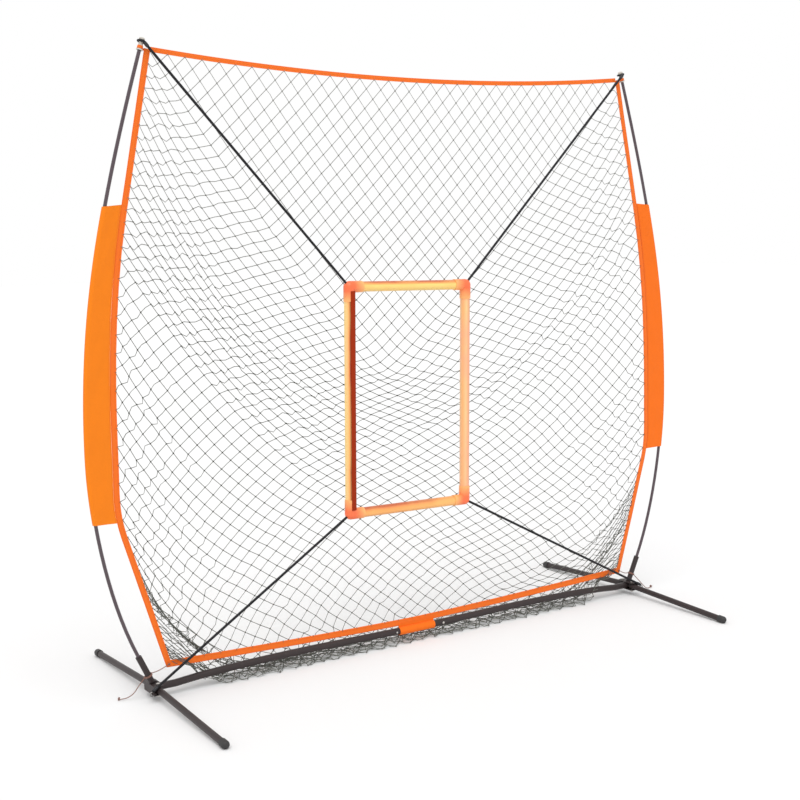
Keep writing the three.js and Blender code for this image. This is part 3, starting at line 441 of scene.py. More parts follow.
def twine_finish(name, tone):
    """Twisted twine with a little dust on it, lighter towards the top of the net, and lighter towards the
    floor as painted bounce light from the floor.
    """
    finish = Finish(name, 0.75, Specular_IOR_Level=0.25)
    strand = finish.noise(1500, 2)
    dust = finish.noise(5, 3)
    body = finish.mix(strand, shade(tone, 0.7), shade(tone, 1.5))
    body = finish.mix(finish.math("MULTIPLY", dust, 0.35), body, shade(tone, 2.0))
    height, full_height = finish.add("ShaderNodeSeparateXYZ", Vector=finish.place()).outputs[2], 2.2
    # Lighter towards the top of the net; lighter near the floor as painted bounce light from the floor.
    pale_top_and_bounce_light = finish.ramp(finish.math("DIVIDE", height, full_height), [
        (0.0, 0.32), (0.1, 0.2), (0.25, 0.1), (0.4, 0.03), (0.55, 0.08), (0.75, 0.6), (0.95, 0.95)])
    finish.base(finish.mix(pale_top_and_bounce_light, body, (0.30, 0.30, 0.28)))
    finish.bump(strand, 0.0002, 0.6)
    return finish.material


# ---- Mesh helpers ----
def settings():
    return bpy.context.scene.target_net


def select_only(piece):
    bpy.ops.object.select_all(action="DESELECT")
    piece.select_set(True)
    bpy.context.view_layer.objects.active = piece


def apply_modifiers(piece):
    select_only(piece)
    for modifier in list(piece.modifiers):
        bpy.ops.object.modifier_apply(modifier=modifier.name)


def edit_whole(piece):
    """Opens a piece in edit mode with all of it selected."""
    select_only(piece)
    bpy.ops.object.mode_set(mode="EDIT")
    bpy.ops.mesh.select_all(action="SELECT")


def end_edit():
    bpy.ops.object.mode_set(mode="OBJECT")


def face_out(piece):
    edit_whole(piece)
    bpy.ops.mesh.normals_make_consistent(inside=False)
    end_edit()


def new_object(name, data):
    piece = bpy.data.objects.new(name, data)
    bpy.context.scene.collection.objects.link(piece)
    return piece


def merged_copy(node, name):
    """A copy of one of the frame's own solids, with its loose triangles joined."""
    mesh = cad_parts[node].data.copy()
    mesh.materials.clear()
    piece = new_object(name, mesh)
    edit_whole(piece)
    bpy.ops.mesh.remove_doubles(threshold=1e-5)
    end_edit()
    return piece


def new_piece(name, points, faces, uvs=None):
    mesh = bpy.data.meshes.new(name)
    mesh.from_pydata([tuple(p) for p in points], [], faces)
    if uvs is not None:
        layer = mesh.uv_layers.new(name="UVMap")
        loops = np.zeros(len(mesh.loops), np.int32)
        mesh.loops.foreach_get("vertex_index", loops)
        layer.data.foreach_set("uv", np.asarray(uvs, np.float32)[loops].ravel())
    return new_object(name, mesh)


def smooth(piece, degrees=40):
    select_only(piece)
    bpy.ops.object.shade_smooth_by_angle(angle=math.radians(degrees))


def soft_edges(piece, width, degrees):
    """Rounds off the edges that are sharper than an angle."""
    rounding = piece.modifiers.new("Soft Edges", "BEVEL")
    rounding.width, rounding.segments, rounding.angle_limit = width, 2, math.radians(degrees)


def thicken(piece, thickness):
    """Turns a sheet of cloth outwards and gives it a thickness, half of it to each side."""
    face_out(piece)
    wall = piece.modifiers.new("Cloth Thickness", "SOLIDIFY")
    wall.thickness, wall.offset = thickness, 0
    apply_modifiers(piece)
    smooth(piece, 50)


def run_along(points):
    """How far along a polyline each of its points is."""
    return np.r_[0, np.cumsum(np.linalg.norm(np.diff(points, axis=0), axis=1))]


def girth_along(section):
    """How far along a flat outline each of its points is."""
    return np.r_[0, np.cumsum(np.hypot(*np.diff(np.array(section), axis=0).T))]


def resample(points, step):
    """Evenly spaced points on a polyline."""
    points = np.array(points, float)
    run = run_along(points)
    count = max(2, int(round(run[-1] / step)) + 1)
    at = np.linspace(0, run[-1], count)
    return np.stack([np.interp(at, run, points[:, k]) for k in range(points.shape[1])], 1), at


def smooth_path(points, per_span=7):
    """Catmull-Rom curve through the points."""
    p = [Vector(q) for q in points]
    p = [2 * p[0] - p[1]] + p + [2 * p[-1] - p[-2]]
    path = []
    for a, b, c, d in zip(p, p[1:], p[2:], p[3:]):
        for k in range(per_span):
            t = k / per_span
            path.append(0.5 * (2 * b + (c - a) * t + (2 * a - 5 * b + 4 * c - d) * t * t
                               + (3 * b - 3 * c + d - a) * t ** 3))
    return path + [p[-2]]


def swung(turn, side, other):
    """A direction that has turned from one axis towards another."""
    return math.cos(turn) * side + math.sin(turn) * other


def tube_faces(stations, sides):
    """Faces between rings of points that follow one another, and one over each end."""
    faces = []
    for k in range(stations - 1):
        for i in range(sides):
            j = (i + 1) % sides
            faces.append((k * sides + i, k * sides + j, (k + 1) * sides + j, (k + 1) * sides + i))
    faces.append(tuple(range(sides))[::-1])
    faces.append(tuple((stations - 1) * sides + i for i in range(sides)))
    return faces


def sheet_faces(stations, across):
    """Faces between rows of points that lie side by side."""
    return [(k * across + i, k * across + i + 1, (k + 1) * across + i + 1, (k + 1) * across + i)
            for k in range(stations - 1) for i in range(across - 1)]


def tube_mesh(path, radius, sides=10):
    """Rings of points along a path, their faces and their UVs in metres; the ends are closed."""
    path = np.array([tuple(p) for p in path], float)
    ahead = np.gradient(path, axis=0)
    ahead /= np.linalg.norm(ahead, axis=1)[:, None]
    side = np.cross(ahead[0], (0, 0, 1) if abs(ahead[0][2]) < 0.9 else (1, 0, 0))
    side /= np.linalg.norm(side)
    run = run_along(path)
    radii = np.full(len(path), radius) if np.isscalar(radius) else np.array(radius)
    points, uvs = [], []
    for k, (centre, line) in enumerate(zip(path, ahead)):
        side = side - line * side.dot(line)
        side /= np.linalg.norm(side)
        other = np.cross(line, side)
        for i in range(sides):
            turn = 2 * math.pi * i / sides
            points.append(centre + radii[k] * swung(turn, side, other))
            uvs.append((run[k], turn * radii[k]))
    return points, tube_faces(len(path), sides), uvs


def torus_mesh(centre, axis, radius, wire, turns=22, sides=8):
    """A closed ring of cord."""
    centre, axis = Vector(centre), Vector(axis).normalized()
    side = axis.orthogonal().normalized()
    other = axis.cross(side)
    points, uvs = [], []
    for k in range(turns):
        place = centre + radius * swung(2 * math.pi * k / turns, side, other)
        out = (place - centre).normalized()
        for i in range(sides):
            turn = 2 * math.pi * i / sides
            points.append(place + wire * swung(turn, out, axis))
            uvs.append((2 * math.pi * radius * k / turns, wire * turn))
    faces = []
    for k in range(turns):
        n = (k + 1) % turns
        for i in range(sides):
            j = (i + 1) % sides
            faces.append((k * sides + i, n * sides + i, n * sides + j, k * sides + j))
    return points, faces, uvs


def ball_mesh(centre, radius, rings=7, sides=10):
    centre = Vector(centre)
    points, uvs, faces = [], [], []
    for r in range(1, rings):
        lean = math.pi * r / rings
        for i in range(sides):
            turn = 2 * math.pi * i / sides
            points.append(centre + radius * Vector((math.sin(lean) * math.cos(turn),
                                                    math.sin(lean) * math.sin(turn), math.cos(lean))))
            uvs.append((radius * lean, radius * turn))
    top, low = len(points), len(points) + 1
    points += [centre + Vector((0, 0, radius)), centre - Vector((0, 0, radius))]
    uvs += [(0, 0), (math.pi * radius, 0)]
    for i in range(sides):
        j = (i + 1) % sides
        faces.append((top, i, j))
        faces.append((low, (rings - 2) * sides + j, (rings - 2) * sides + i))
        for r in range(rings - 2):
            faces.append((r * sides + i, (r + 1) * sides + i, (r + 1) * sides + j, r * sides + j))
    return points, faces, uvs


def joined(*meshes):
    points, faces, uvs = [], [], []
    for p, f, u in meshes:
        faces += [tuple(i + len(points) for i in face) for face in f]
        points += list(p)
        uvs += list(u)
    return points, faces, uvs


def edge_noise(at, seed, size):
    """Smooth wandering numbers, the same each time."""
    waves, full_swing = [(2.1, 1.0), (4.7, 0.6), (9.3, 0.35)], 1.95
    swing = sum(w * np.sin(f * at * 2 * math.pi + seed * (1.7 + k)) for k, (f, w) in enumerate(waves))
    return size * swing / full_swing


# ---- Lines of the net ----
SIDE_RUN = girth_along(SIDE_LINE)


def side_point(run_share):
    run = run_share * SIDE_RUN[-1]
    line = np.array(SIDE_LINE)
    return np.interp(run, SIDE_RUN, line[:, 0]), np.interp(run, SIDE_RUN, line[:, 1])


def side_x(height):
    line = np.array(SIDE_LINE)
    return np.interp(height, line[:, 1], line[:, 0])


def top_height(x):
    return SIDE_LINE[-1][1] - TOP_SAG * (1 - (x / SIDE_LINE[-1][0]) ** 2)


def bottom_height(x):
    return SIDE_LINE[0][1] - BOTTOM_SAG * (1 - np.clip(np.abs(x) / SIDE_LINE[0][0], 0, 1) ** 1.5)


# ---- Netting ----
class Netting:
    """Diamond netting: knots in rows, every second row moved half a mesh, cut flat and then hung."""

    def __init__(self, sizes):
        self.columns, self.rows, self.bar = sizes.columns, sizes.rows // 2 * 2, sizes.mesh_bar
        self.number = {}
        for row in range(self.rows + 1):
            for place in range(row % 2, 2 * self.columns + 1, 2):
                self.number[place, row] = len(self.number)
        grid = np.array(list(self.number), float)
        self.across, self.up = grid[:, 0] / (2 * self.columns), grid[:, 1] / self.rows
        self.border = (self.across == 0) | (self.across == 1) | (self.up == 0) | (self.up == 1)
        self.row = grid[:, 1]
        self.folded = self.row < len(SLACK_FOLDS)

    def faces(self):
        """The whole meshes, and the half meshes along the tapes."""
        number, width, rows = self.number, 2 * self.columns, self.rows
        cells = []
        for (place, row) in number:
            cell = [(place, row), (place + 1, row + 1), (place, row + 2), (place - 1, row + 1)]
            if all(knot in number for knot in cell):
                cells.append(cell)
        for row in range(0, rows - 1, 2):
            cells.append([(0, row), (1, row + 1), (0, row + 2)])
            cells.append([(width, row), (width, row + 2), (width - 1, row + 1)])
        for place in range(0, width, 2):
            cells.append([(place, 0), (place + 2, 0), (place + 1, 1)])
            cells.append([(place, rows), (place + 1, rows - 1), (place + 2, rows)])
        return [[number[knot] for knot in cell] for cell in cells]

    def bars(self):
        """Pairs of knots that a length of twine joins."""
        pairs = []
        for (place, row), knot in self.number.items():
            for step in (-1, 1):
                if (place + step, row + 1) in self.number:
                    pairs.append((knot, self.number[place + step, row + 1]))
        return np.array(pairs)

    def cut(self, chord):
        """The flat cut, bent round a level axis so that it stands behind the frame at its full size."""
        width = self.columns * self.bar * math.sqrt(2)
        height = self.rows * self.bar / math.sqrt(2)
        low, high = 1e-3, 6.2
        for _ in range(60):
            bend = (low + high) / 2
            low, high = (bend, high) if height * math.sin(bend / 2) / (bend / 2) > chord else (low, bend)
        radius = height / bend
        turn = (self.up - 0.5) * bend
        middle = (SIDE_LINE[0][1] + SIDE_LINE[-1][1]) / 2
        return np.stack([(self.across - 0.5) * width, radius * (np.cos(turn) - math.cos(bend / 2)),
                         middle + radius * np.sin(turn)], 1)

    def framed(self, sizes):
        """Every knot on the surface between the tapes; its border knots are sewn into them."""
        left, right = np.interp(self.up, *GATHER_LEFT), np.interp(self.up, *GATHER_RIGHT)
        x, z = side_point((1 - self.across) * left + self.across * right)
        rise = (z - SIDE_LINE[0][1]) / (SIDE_LINE[-1][1] - SIDE_LINE[0][1])
        sewn_in, behind, depth = 0.4, 0.004, 0.3
        x = (2 * self.across - 1) * (x - sewn_in * sizes.side_tape)
        low = bottom_height(x) + sewn_in * sizes.bottom_tape
        high = top_height(x) - sewn_in * sizes.top_tape
        y = behind + depth * (1 - np.abs(2 * self.across - 1) ** 2.5) * 4 * self.up * (1 - self.up)
        hung = np.stack([x, np.where(self.border, 0.0, y), low + (high - low) * rise], 1)
        loose = self.folded & ~self.border
        hung[loose] = self.fold(hung[loose], self.row[loose])
        return hung

    def fold(self, hung, row):
        """The lowest rows crumpled on the floor; near the corners they rise into the tape again."""
        jitter = np.random.default_rng(11).uniform(-1, 1, (len(row), 3)) * (0.005, 0.006, 0.004)
        down = np.array(SLACK_FOLDS)[row.astype(int)]
        swell = edge_noise(hung[:, 0], 2, 0.2)
        laid = np.stack([hung[:, 0], down[:, 0] * (1 + swell), down[:, 1] * (1 + 0.6 * swell)], 1)
        laid += jitter * np.clip(row / 4, 0, 1)[:, None]
        laid[:, 2] = np.clip(laid[:, 2], 0.004, None)
        inward = np.clip((FOLD_END - np.abs(hung[:, 0])) / FOLD_RISE, 0, 1)
        share = (inward * inward * (3 - 2 * inward))[:, None]
        return hung * (1 - share) + laid * share


def obstacle(kind, **place):
    """A plain solid that the falling net comes to rest on; it is removed again afterwards."""
    getattr(bpy.ops.mesh, f"primitive_{kind}_add")(**place)
    solid = bpy.context.object
    solid.modifiers.new("Collision", "COLLISION")
    solid.collision.thickness_outer = 0.003
    solid.collision.cloth_friction = 5
    return solid


def leg_obstacle(side):
    foot, pivot = mirrored(REAR_FOOT, side), mirrored(REAR_PIVOT, side)
    turn = (foot - pivot).to_track_quat("Z", "Y").to_euler()
    return obstacle("cylinder", vertices=12, radius=LEG_RADIUS, depth=(foot - pivot).length,
                    location=(foot + pivot) / 2, rotation=turn)


def hang(net, sizes):
    """Drops the cut net into its frame as cloth and returns where its knots come to rest."""
    framed = net.framed(sizes)
    # The net is sewn in by one frame, and the strong pull that bags it at first fades between two others.
    framed_by, first_pull, fade_from, fade_until = 40, 6, 60, 120
    cut = net.cut(framed[net.up == 1][:, 2].mean() - framed[net.up == 0][:, 2].mean())
    cloth = new_piece("hanging_net", cut, net.faces())
    pins = cloth.vertex_groups.new(name="sewn")
    held = net.border | (net.folded & (np.abs(framed[:, 0]) < FOLD_HELD))
    pins.add([int(k) for k in np.flatnonzero(held)], 1, "REPLACE")
    cloth.shape_key_add(name="Cut")
    key = cloth.shape_key_add(name="Framed", from_mix=False)
    key.data.foreach_set("co", framed.ravel())
    for value, time in ((0, 1), (1, framed_by)):
        key.value = value
        key.keyframe_insert("value", frame=time)
    modifier = cloth.modifiers.new("Cloth", "CLOTH")
    fabric = modifier.settings
    fabric.quality = 12
    fabric.mass = 0.01
    fabric.air_damping = 2
    fabric.tension_stiffness, fabric.tension_damping = 80, 5
    fabric.compression_stiffness = fabric.compression_damping = 0
    fabric.shear_stiffness = fabric.shear_damping = 0
    fabric.bending_stiffness = fabric.bending_damping = 0
    fabric.vertex_group_mass = "sewn"
    touch = modifier.collision_settings
    touch.use_collision, touch.use_self_collision = True, False
    touch.distance_min, touch.friction = 0.003, 20
    modifier.point_cache.frame_end = sizes.drop_frames
    solids = [
        obstacle("plane", size=8, location=(0, 0, 0)),
        obstacle("cylinder", vertices=16, radius=BAR_RADIUS, depth=BAR_LENGTH, location=(0, 0, BAR_AXIS_Z),
                 rotation=(0, math.pi / 2, 0)),
        leg_obstacle(-1), leg_obstacle(1),
    ]
    scene = bpy.context.scene
    scene.frame_end = sizes.drop_frames
    for step in range(1, sizes.drop_frames + 1):
        early = min(1, max(0, (fade_until - step) / (fade_until - fade_from)))
        scene.gravity = (0, sizes.lean_back + (first_pull - sizes.lean_back) * early, -9.81)
        scene.frame_set(step)
    settled = cloth.evaluated_get(bpy.context.evaluated_depsgraph_get()).data
    hung = np.zeros(3 * len(net.across))
    settled.vertices.foreach_get("co", hung)
    for piece in [cloth, *solids]:
        bpy.data.objects.remove(piece)
    scene.frame_set(1)
    return hung.reshape(-1, 3)


def twine_piece(name, lines, diameter):
    """Lengths of twine as four-sided strings, closed at their ends."""
    curve = bpy.data.curves.new(name, "CURVE")
    curve.dimensions = "3D"
    curve.bevel_depth, curve.bevel_resolution, curve.use_fill_caps = diameter / 2, 0, True
    for line in lines:
        spline = curve.splines.new("POLY")
        spline.points.add(len(line) - 1)
        spline.points.foreach_set("co", np.hstack([line, np.ones((len(line), 1))]).ravel())
    select_only(new_object(name, curve))
    bpy.ops.object.convert(target="MESH")
    return bpy.context.object


def knot_points():
    """One tight knot, as a small bead that is longer than it is thick."""
    bpy.ops.mesh.primitive_ico_sphere_add(subdivisions=1, radius=0.5)
    bead = bpy.context.object
    points = np.array([v.co for v in bead.data.vertices]) * (1.0, 0.75, 0.85)
    faces = [tuple(f.vertices) for f in bead.data.polygons]
    bpy.data.objects.remove(bead)
    return points, faces


def knots_piece(name, places, along, width):
    bead, bead_faces = knot_points()
    points, faces = [], []
    for k, (place, run) in enumerate(zip(places, along)):
        turn = Vector(run).to_track_quat("X", "Z").to_matrix()
        points += list(place + (bead * width) @ np.array(turn).T)
        faces += [tuple(i + k * len(bead) for i in face) for face in bead_faces]
    return new_piece(name, points, faces)


def bowed(a, b, bar, seed):
    """Twine between two knots: straight when taut, bowed when they are closer than its length."""
    chord, taut, stiffness = np.linalg.norm(b - a), 0.985, 0.8
    if chord > taut * bar:
        return np.array([a, b])
    sag = math.sqrt(3 / 8 * bar * (bar - chord)) * stiffness
    swing = np.array([math.sin(seed * 12.9), math.sin(seed * 7.3) + 0.4, math.sin(seed * 4.1) - 0.6])
    line = (b - a) / max(chord, 1e-6)
    swing -= line * swing.dot(line)
    middle = (a + b) / 2 + sag * swing / np.linalg.norm(swing)
    middle[2] = max(middle[2], 0.002)
    return np.array([a, middle, b])


def parted(line):
    """A length of twine that lies across the floor line, as its front and its rear part."""
    if line[:, 1].min() >= -SWEEP_PAST_LINE or line[:, 1].max() <= SWEEP_PAST_LINE:
        return [line]
    k = np.flatnonzero(np.diff(np.sign(line[:, 1])))[0]
    a, b = line[k], line[k + 1]
    crossing = a + (b - a) * a[1] / (a[1] - b[1])
    return [np.vstack([line[:k + 1], crossing]), np.vstack([crossing, line[k + 1:]])]


def shared_out(points, foremost):
    """Which points a folding leg sweeps over on the floor, leg by leg, and the rest."""
    low, behind = points[:, 2] < SWEEP_HEIGHT, foremost >= -SWEEP_PAST_LINE
    parts = {}
    for side, word in ((-1, "left"), (1, "right")):
        swept = low & (side * points[:, 0] > SWEEP_START)
        parts[f"rear_{word}"], parts[f"front_{word}"] = swept & behind, swept & ~behind
    parts["body"] = ~np.any(list(parts.values()), axis=0)
    return parts


class TARGETNET_OT_netting(bpy.types.Operator):
    """Cuts the diamond netting, hangs it in the tapes and turns it into twine and knots"""
    bl_idname = "target_net.netting"
    bl_label = "Netting"

    def execute(self, context):
        sizes, colours = settings().sizes, settings().colours
        net = Netting(sizes)
        hung = hang(net, sizes)
        bars = net.bars()
        finish, tight = twine_finish("net_twine", colours.twine), twine_finish("net_knot", colours.knot)
        twines = [part for a, b in bars for part in parted(bowed(hung[a], hung[b], net.bar, a + 0.37 * b))]
        groups = shared_out(np.array([(line[0] + line[-1]) / 2 for line in twines]),
                            np.array([line[:, 1].min() for line in twines]))
        knot_groups = shared_out(hung, hung[:, 1])
        neighbour = {k: hung[b] - hung[a] for a, b in bars[::-1] for k in (a, b)}
        pieces = {}
        for part, chosen in groups.items():
            if not chosen.any():
                continue
            twine = twine_piece(f"netting_{part}", [twines[k] for k in np.flatnonzero(chosen)], sizes.twine)
            twine.data.materials.append(finish)
            pieces[part] = [twine]
            loose = np.flatnonzero(knot_groups[part] & ~net.border)
            if len(loose):
                along = [neighbour[k] for k in loose]
                knots = knots_piece(f"net_knots_{part}", hung[loose], along, sizes.knot)
                knots.data.materials.append(tight)
                smooth(knots, 80)
                pieces[part].append(knots)
        for part, group in pieces.items():
            for piece in group:
                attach(piece, "frame")
                if part != "body":
                    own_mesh(piece)
        replaced = {"body": ["net_bag"]}
        for word in ("left", "right"):
            part = f"rear_{word}"
            replaced.setdefault(part if part in pieces else "body", []).append(f"net_slack_{word}")
        for part, nodes in replaced.items():
            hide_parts(*nodes)
        lash_border(net, hung, sizes, finish)
        return {"FINISHED"}


def lash_border(net, hung, sizes, finish):
    """Twine whipped round the tapes' edges where the net's outer knots are sewn in."""
    rings = []
    inset, radius, wire = 0.0005, 0.0026, sizes.twine * 0.42
    for k in np.flatnonzero(net.border):
        across, up = net.across[k], net.up[k]
        if up not in (0, 1):
            axis, inward = (0, 0, 1), np.array([1 - 2 * across, 0, 0])
        elif across not in (0, 1):
            axis, inward = (1, 0, 0), np.array([0, 0, 1 - 2 * up])
        else:
            continue
        rings.append(torus_mesh(hung[k] + inward * inset, axis, radius, wire, turns=9, sides=4))
    points, faces, _ = joined(*rings)
    piece = new_piece("tape_lashings", points, faces)
    piece.data.materials.append(finish)
    smooth(piece, 80)
    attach(piece, "frame")


# ---- Camera and cords ----
class TARGETNET_OT_camera(bpy.types.Operator):
    """Stands the camera to the thrower's left, at eye height"""
    bl_idname = "target_net.camera"
    bl_label = "Camera"

    def execute(self, context):
        aim, distance = Vector((-0.0658, 0, 0.9112)), 4.7259
        turn, lift, roll = math.radians(-33.14), math.radians(7.235), math.radians(-1.03)
        back = Vector((math.sin(turn) * math.cos(lift), -math.cos(turn) * math.cos(lift), math.sin(lift)))
        right = (-back).cross(Vector((0, 0, 1))).normalized()
        up = right.cross(-back)
        right, up = right * math.cos(roll) + up * math.sin(roll), up * math.cos(roll) - right * math.sin(roll)
        lens = bpy.data.cameras.new("thrower_view")
        lens.lens, lens.sensor_width = settings().stage.lens, 36
        eye = new_object("thrower_view", lens)
        place = Matrix((right, up, back)).transposed().to_4x4()
        place.translation = aim + back * distance
        eye.matrix_world = place
        bpy.context.scene.camera = eye
        return {"FINISHED"}


def trefoil(centre, size, cord, facing):
    """A pulled-tight overhand knot, as a closed tube."""
    turn = Vector(facing).to_track_quat("Z", "Y").to_matrix()
    steps, sides = 42, 6
    path = []
    for k in range(steps):
        t = 2 * math.pi * k / steps
        lobe = Vector((math.sin(t) + 2 * math.sin(2 * t), math.cos(t) - 2 * math.cos(2 * t),
                       -1.3 * math.sin(3 * t)))
        path.append(Vector(centre) + turn @ lobe * (size / 3))
    points, uvs, faces, run = [], [], [], 0.0
    for k in range(steps):
        ahead = (path[(k + 1) % steps] - path[k - 1]).normalized()
        side = ahead.cross((path[k] - Vector(centre)).normalized()).normalized()
        other = ahead.cross(side)
        for i in range(sides):
            a = 2 * math.pi * i / sides
            points.append(path[k] + cord * swung(a, side, other))
            uvs.append((run, a * cord))
        run += (path[(k + 1) % steps] - path[k]).length
        for i in range(sides):
            j, n = (i + 1) % sides, (k + 1) % steps
            faces.append((k * sides + i, k * sides + j, n * sides + j, n * sides + i))
    return points, faces, uvs


class TARGETNET_OT_ties(bpy.types.Operator):
    """Ties the net's lower corners to the poles' sockets and lets the spare ends lie on the floor"""
    bl_idname = "target_net.ties"
    bl_label = "Corner Ties"

    def execute(self, context):
        sizes = settings().sizes
        finish = braided("tie_cord_braid", settings().colours.tie, sizes.tie)
        cord, half_gap = sizes.tie / 2, 0.0017
        for side, word in ((-1, "left"), (1, "right")):
            out = Vector((side * POLE_OUT.x, 0, POLE_OUT.z))
            below = Vector((side * POLE_OUT.z, 0, -POLE_OUT.x))
            loop = mirrored(TIE_LOOP, side)
            route = smooth_path(TAIL_ROUTES[side], 6)
            tail = new_piece(f"tie_tail_{word}_cord", *tube_mesh(route, cord, 8))
            end = new_piece(f"tie_tail_{word}_knot", *trefoil(route[-1] + Vector((side * 0.002, 0, 0.0026)),
                                                              0.0044, cord * 1.15, (side, 0.3, 0.2)))
            knot = Vector((side * SIDE_LINE[0][0], -0.0058, SIDE_LINE[0][1]))
            meets = loop + Vector((0, TIE_LOOP_RADIUS, 0))
            bight = smooth_path([knot, (knot + meets) / 2 - Vector((0, 0, 0.005)), meets], 8)
            hitch = new_piece(f"tie_cord_{word}_hitch", *joined(
                tube_mesh(bight, cord, 8),
                trefoil(knot, 0.0028, cord, (0, 1, 0.2)),
                torus_mesh(loop - out * half_gap, out, TIE_LOOP_RADIUS, cord),
                torus_mesh(loop + out * half_gap, out, TIE_LOOP_RADIUS, cord),
                trefoil(loop + below * 0.0135, 0.0026, cord, (0.2, 1, 0)),
            ))
            for piece in (tail, end, hitch):
                face_out(piece)
                smooth(piece, 80)
                piece.data.materials.append(finish)
                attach(piece, "frame")
            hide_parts(f"tie_tail_{word}")
            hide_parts(f"tie_cord_{word}")
        return {"FINISHED"}


class TARGETNET_OT_bungees(bpy.types.Operator):
    """Stretches the four elastic cords from the frame to the corners of the strike zone"""
    bl_idname = "target_net.bungees"
    bl_label = "Bungees"

    def execute(self, context):
        sizes, colours = settings().sizes, settings().colours
        cover = braided("bungee_cover", colours.bungee, sizes.bungee)
        steel = plated("bungee_ring_plating", (0.35, 0.34, 0.33))
        plastic = moulded("bungee_collar_plastic", shade(colours.bungee, 1.3), 0.5)
        radius, knot_room = sizes.bungee / 2, 0.0093
        collar_width = [width for _, width in COLLAR]
        for side, rise in ((-1, 1), (1, 1), (-1, -1), (1, -1)):
            word = f"{'top' if rise > 0 else 'bottom'}_{'left' if side < 0 else 'right'}"
            start, corner = bungee_start(side, rise), target_corner(side, rise)
            line = (corner - start).normalized()
            corner -= line * knot_room
            path = [start + (corner - start) * k / 40 for k in range(41)]
            cord = new_piece(f"bungee_{word}_cord", *tube_mesh(path, radius, 12))
            if rise > 0:
                axis = Vector((side * POLE_IN.x, 0, POLE_IN.z))
                centre = mirrored(TIP_RING, side)
                ends = joined(torus_mesh(centre, axis, 0.0114, 0.0036, 28, 10),
                              ball_mesh(start, radius * 1.02, 7, 12))
                material = cover
            else:
                centre = mirrored(HUB_RING, side)
                ends = torus_mesh(centre, (0, 1, 0), 0.0068, 0.002, 24, 8)
                material = steel
            ring = new_piece(f"bungee_{word}_ring", *ends)
            ring.data.materials.append(material)
            rings = [start + line * reach for reach, _ in COLLAR]
            collar = new_piece(f"bungee_{word}_collar", *tube_mesh(rings, collar_width, 14))
            collar.data.materials.append(plastic)
            knot = new_piece(f"bungee_{word}_stop", *trefoil(corner, 0.0044, 0.0030, line))
            cord.data.materials.append(cover)
            knot.data.materials.append(cover)
            for piece in (cord, ring, collar, knot):
                face_out(piece)
                smooth(piece, 50)
            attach(ring, "frame")
            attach(collar, "frame")
            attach(knot, "target")
            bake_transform(cord)
            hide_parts(f"bungee_{word}")
        return {"FINISHED"}


# ---- Dark flap of the strike zone, painted shade ----
class TARGETNET_OT_flap(bpy.types.Operator):
    """Lays a dark vinyl flap along the inner front of the strike zone's left bar; its dark colour is painted
    shade along the bar's right edge
    """
    bl_idname = "target_net.flap"
    bl_label = "Shade Flap"

    def execute(self, context):
        proud, short = 0.0004, 0.03
        bpy.ops.mesh.primitive_cylinder_add(vertices=72, radius=ELBOW_RADIUS + proud,
                                            depth=TARGET_SIZE[1] - short, end_fill_type="NOTHING")
        flap = context.object
        flap.name = "target_flap"
        for turn in (-15, -90):
            side = (math.cos(math.radians(turn)), math.sin(math.radians(turn)), 0)
            edit_whole(flap)
            bpy.ops.mesh.bisect(plane_co=(0, 0, 0), plane_no=side, clear_inner=True)
            end_edit()
        wall = flap.modifiers.new("Vinyl", "SOLIDIFY")
        wall.thickness, wall.offset = 0.0012, 1
        soft_edges(flap, 0.0004, 60)
        apply_modifiers(flap)
        turned = Matrix.Rotation(TARGET_TILT, 4, "Y")
        bar = Matrix.Translation((-TARGET_SIZE[0] / 2, 0, 0))
        flap.data.transform(Matrix.Translation(TARGET_CENTRE) @ turned @ bar)
        smooth(flap, 50)
        # The flap's dark colour is painted shade.
        flap.data.materials.append(moulded("flap_vinyl", settings().colours.target_painted_shade, 0.7, 0.3, 600, 0.12))
        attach(flap, "target")
        return {"FINISHED"}


# ---- Spring of the bar's snap button ----
class TARGETNET_OT_spring(bpy.types.Operator):
    """Puts a smooth-shaded copy of the leaf spring inside the bar, under its snap button, in spring steel in
    place of the frame's own one
    """
    bl_idname = "target_net.spring"
    bl_label = "Button Spring"

    def execute(self, context):
        spring = merged_copy("button_spring", "button_leaf_spring")
        smooth(spring, 30)
        spring.data.materials.append(plated("spring_steel", (0.55, 0.54, 0.52), 0.28))
        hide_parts("button_spring")
        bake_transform(spring)
        return {"FINISHED"}


# ---- Tapes ----
def ribbon_mesh(line, width, thick, seed):
    """Folded binding along a line in the X-Z plane: rounded edges, and a rope inside the inner one."""
    line, run = resample(line, 0.012)
    ahead = np.gradient(line, axis=0)
    ahead /= np.linalg.norm(ahead, axis=1)[:, None]
    out = np.stack([ahead[:, 1], -ahead[:, 0]], 1)
    half, h = width / 2, thick / 2
    section = [(-half, 0), (-half + 0.0008, -1.05 * h), (-half + 0.0028, -1.1 * h),
               (-half + 0.0052, -0.72 * h), (0, -0.66 * h), (half - 0.003, -0.66 * h),
               (half - 0.0008, -0.5 * h), (half, 0)]
    section += [(a, -b) for a, b in section[-2:0:-1]]
    wave = edge_noise(run, seed, 0.0005)
    points, uvs = [], []
    for k in range(len(line)):
        for a, b in section:
            x, z = line[k] + out[k] * a
            points.append((x, b + wave[k], z))
            uvs.append((run[k], a))
    return points, tube_faces(len(line), len(section)), uvs, run[-1]


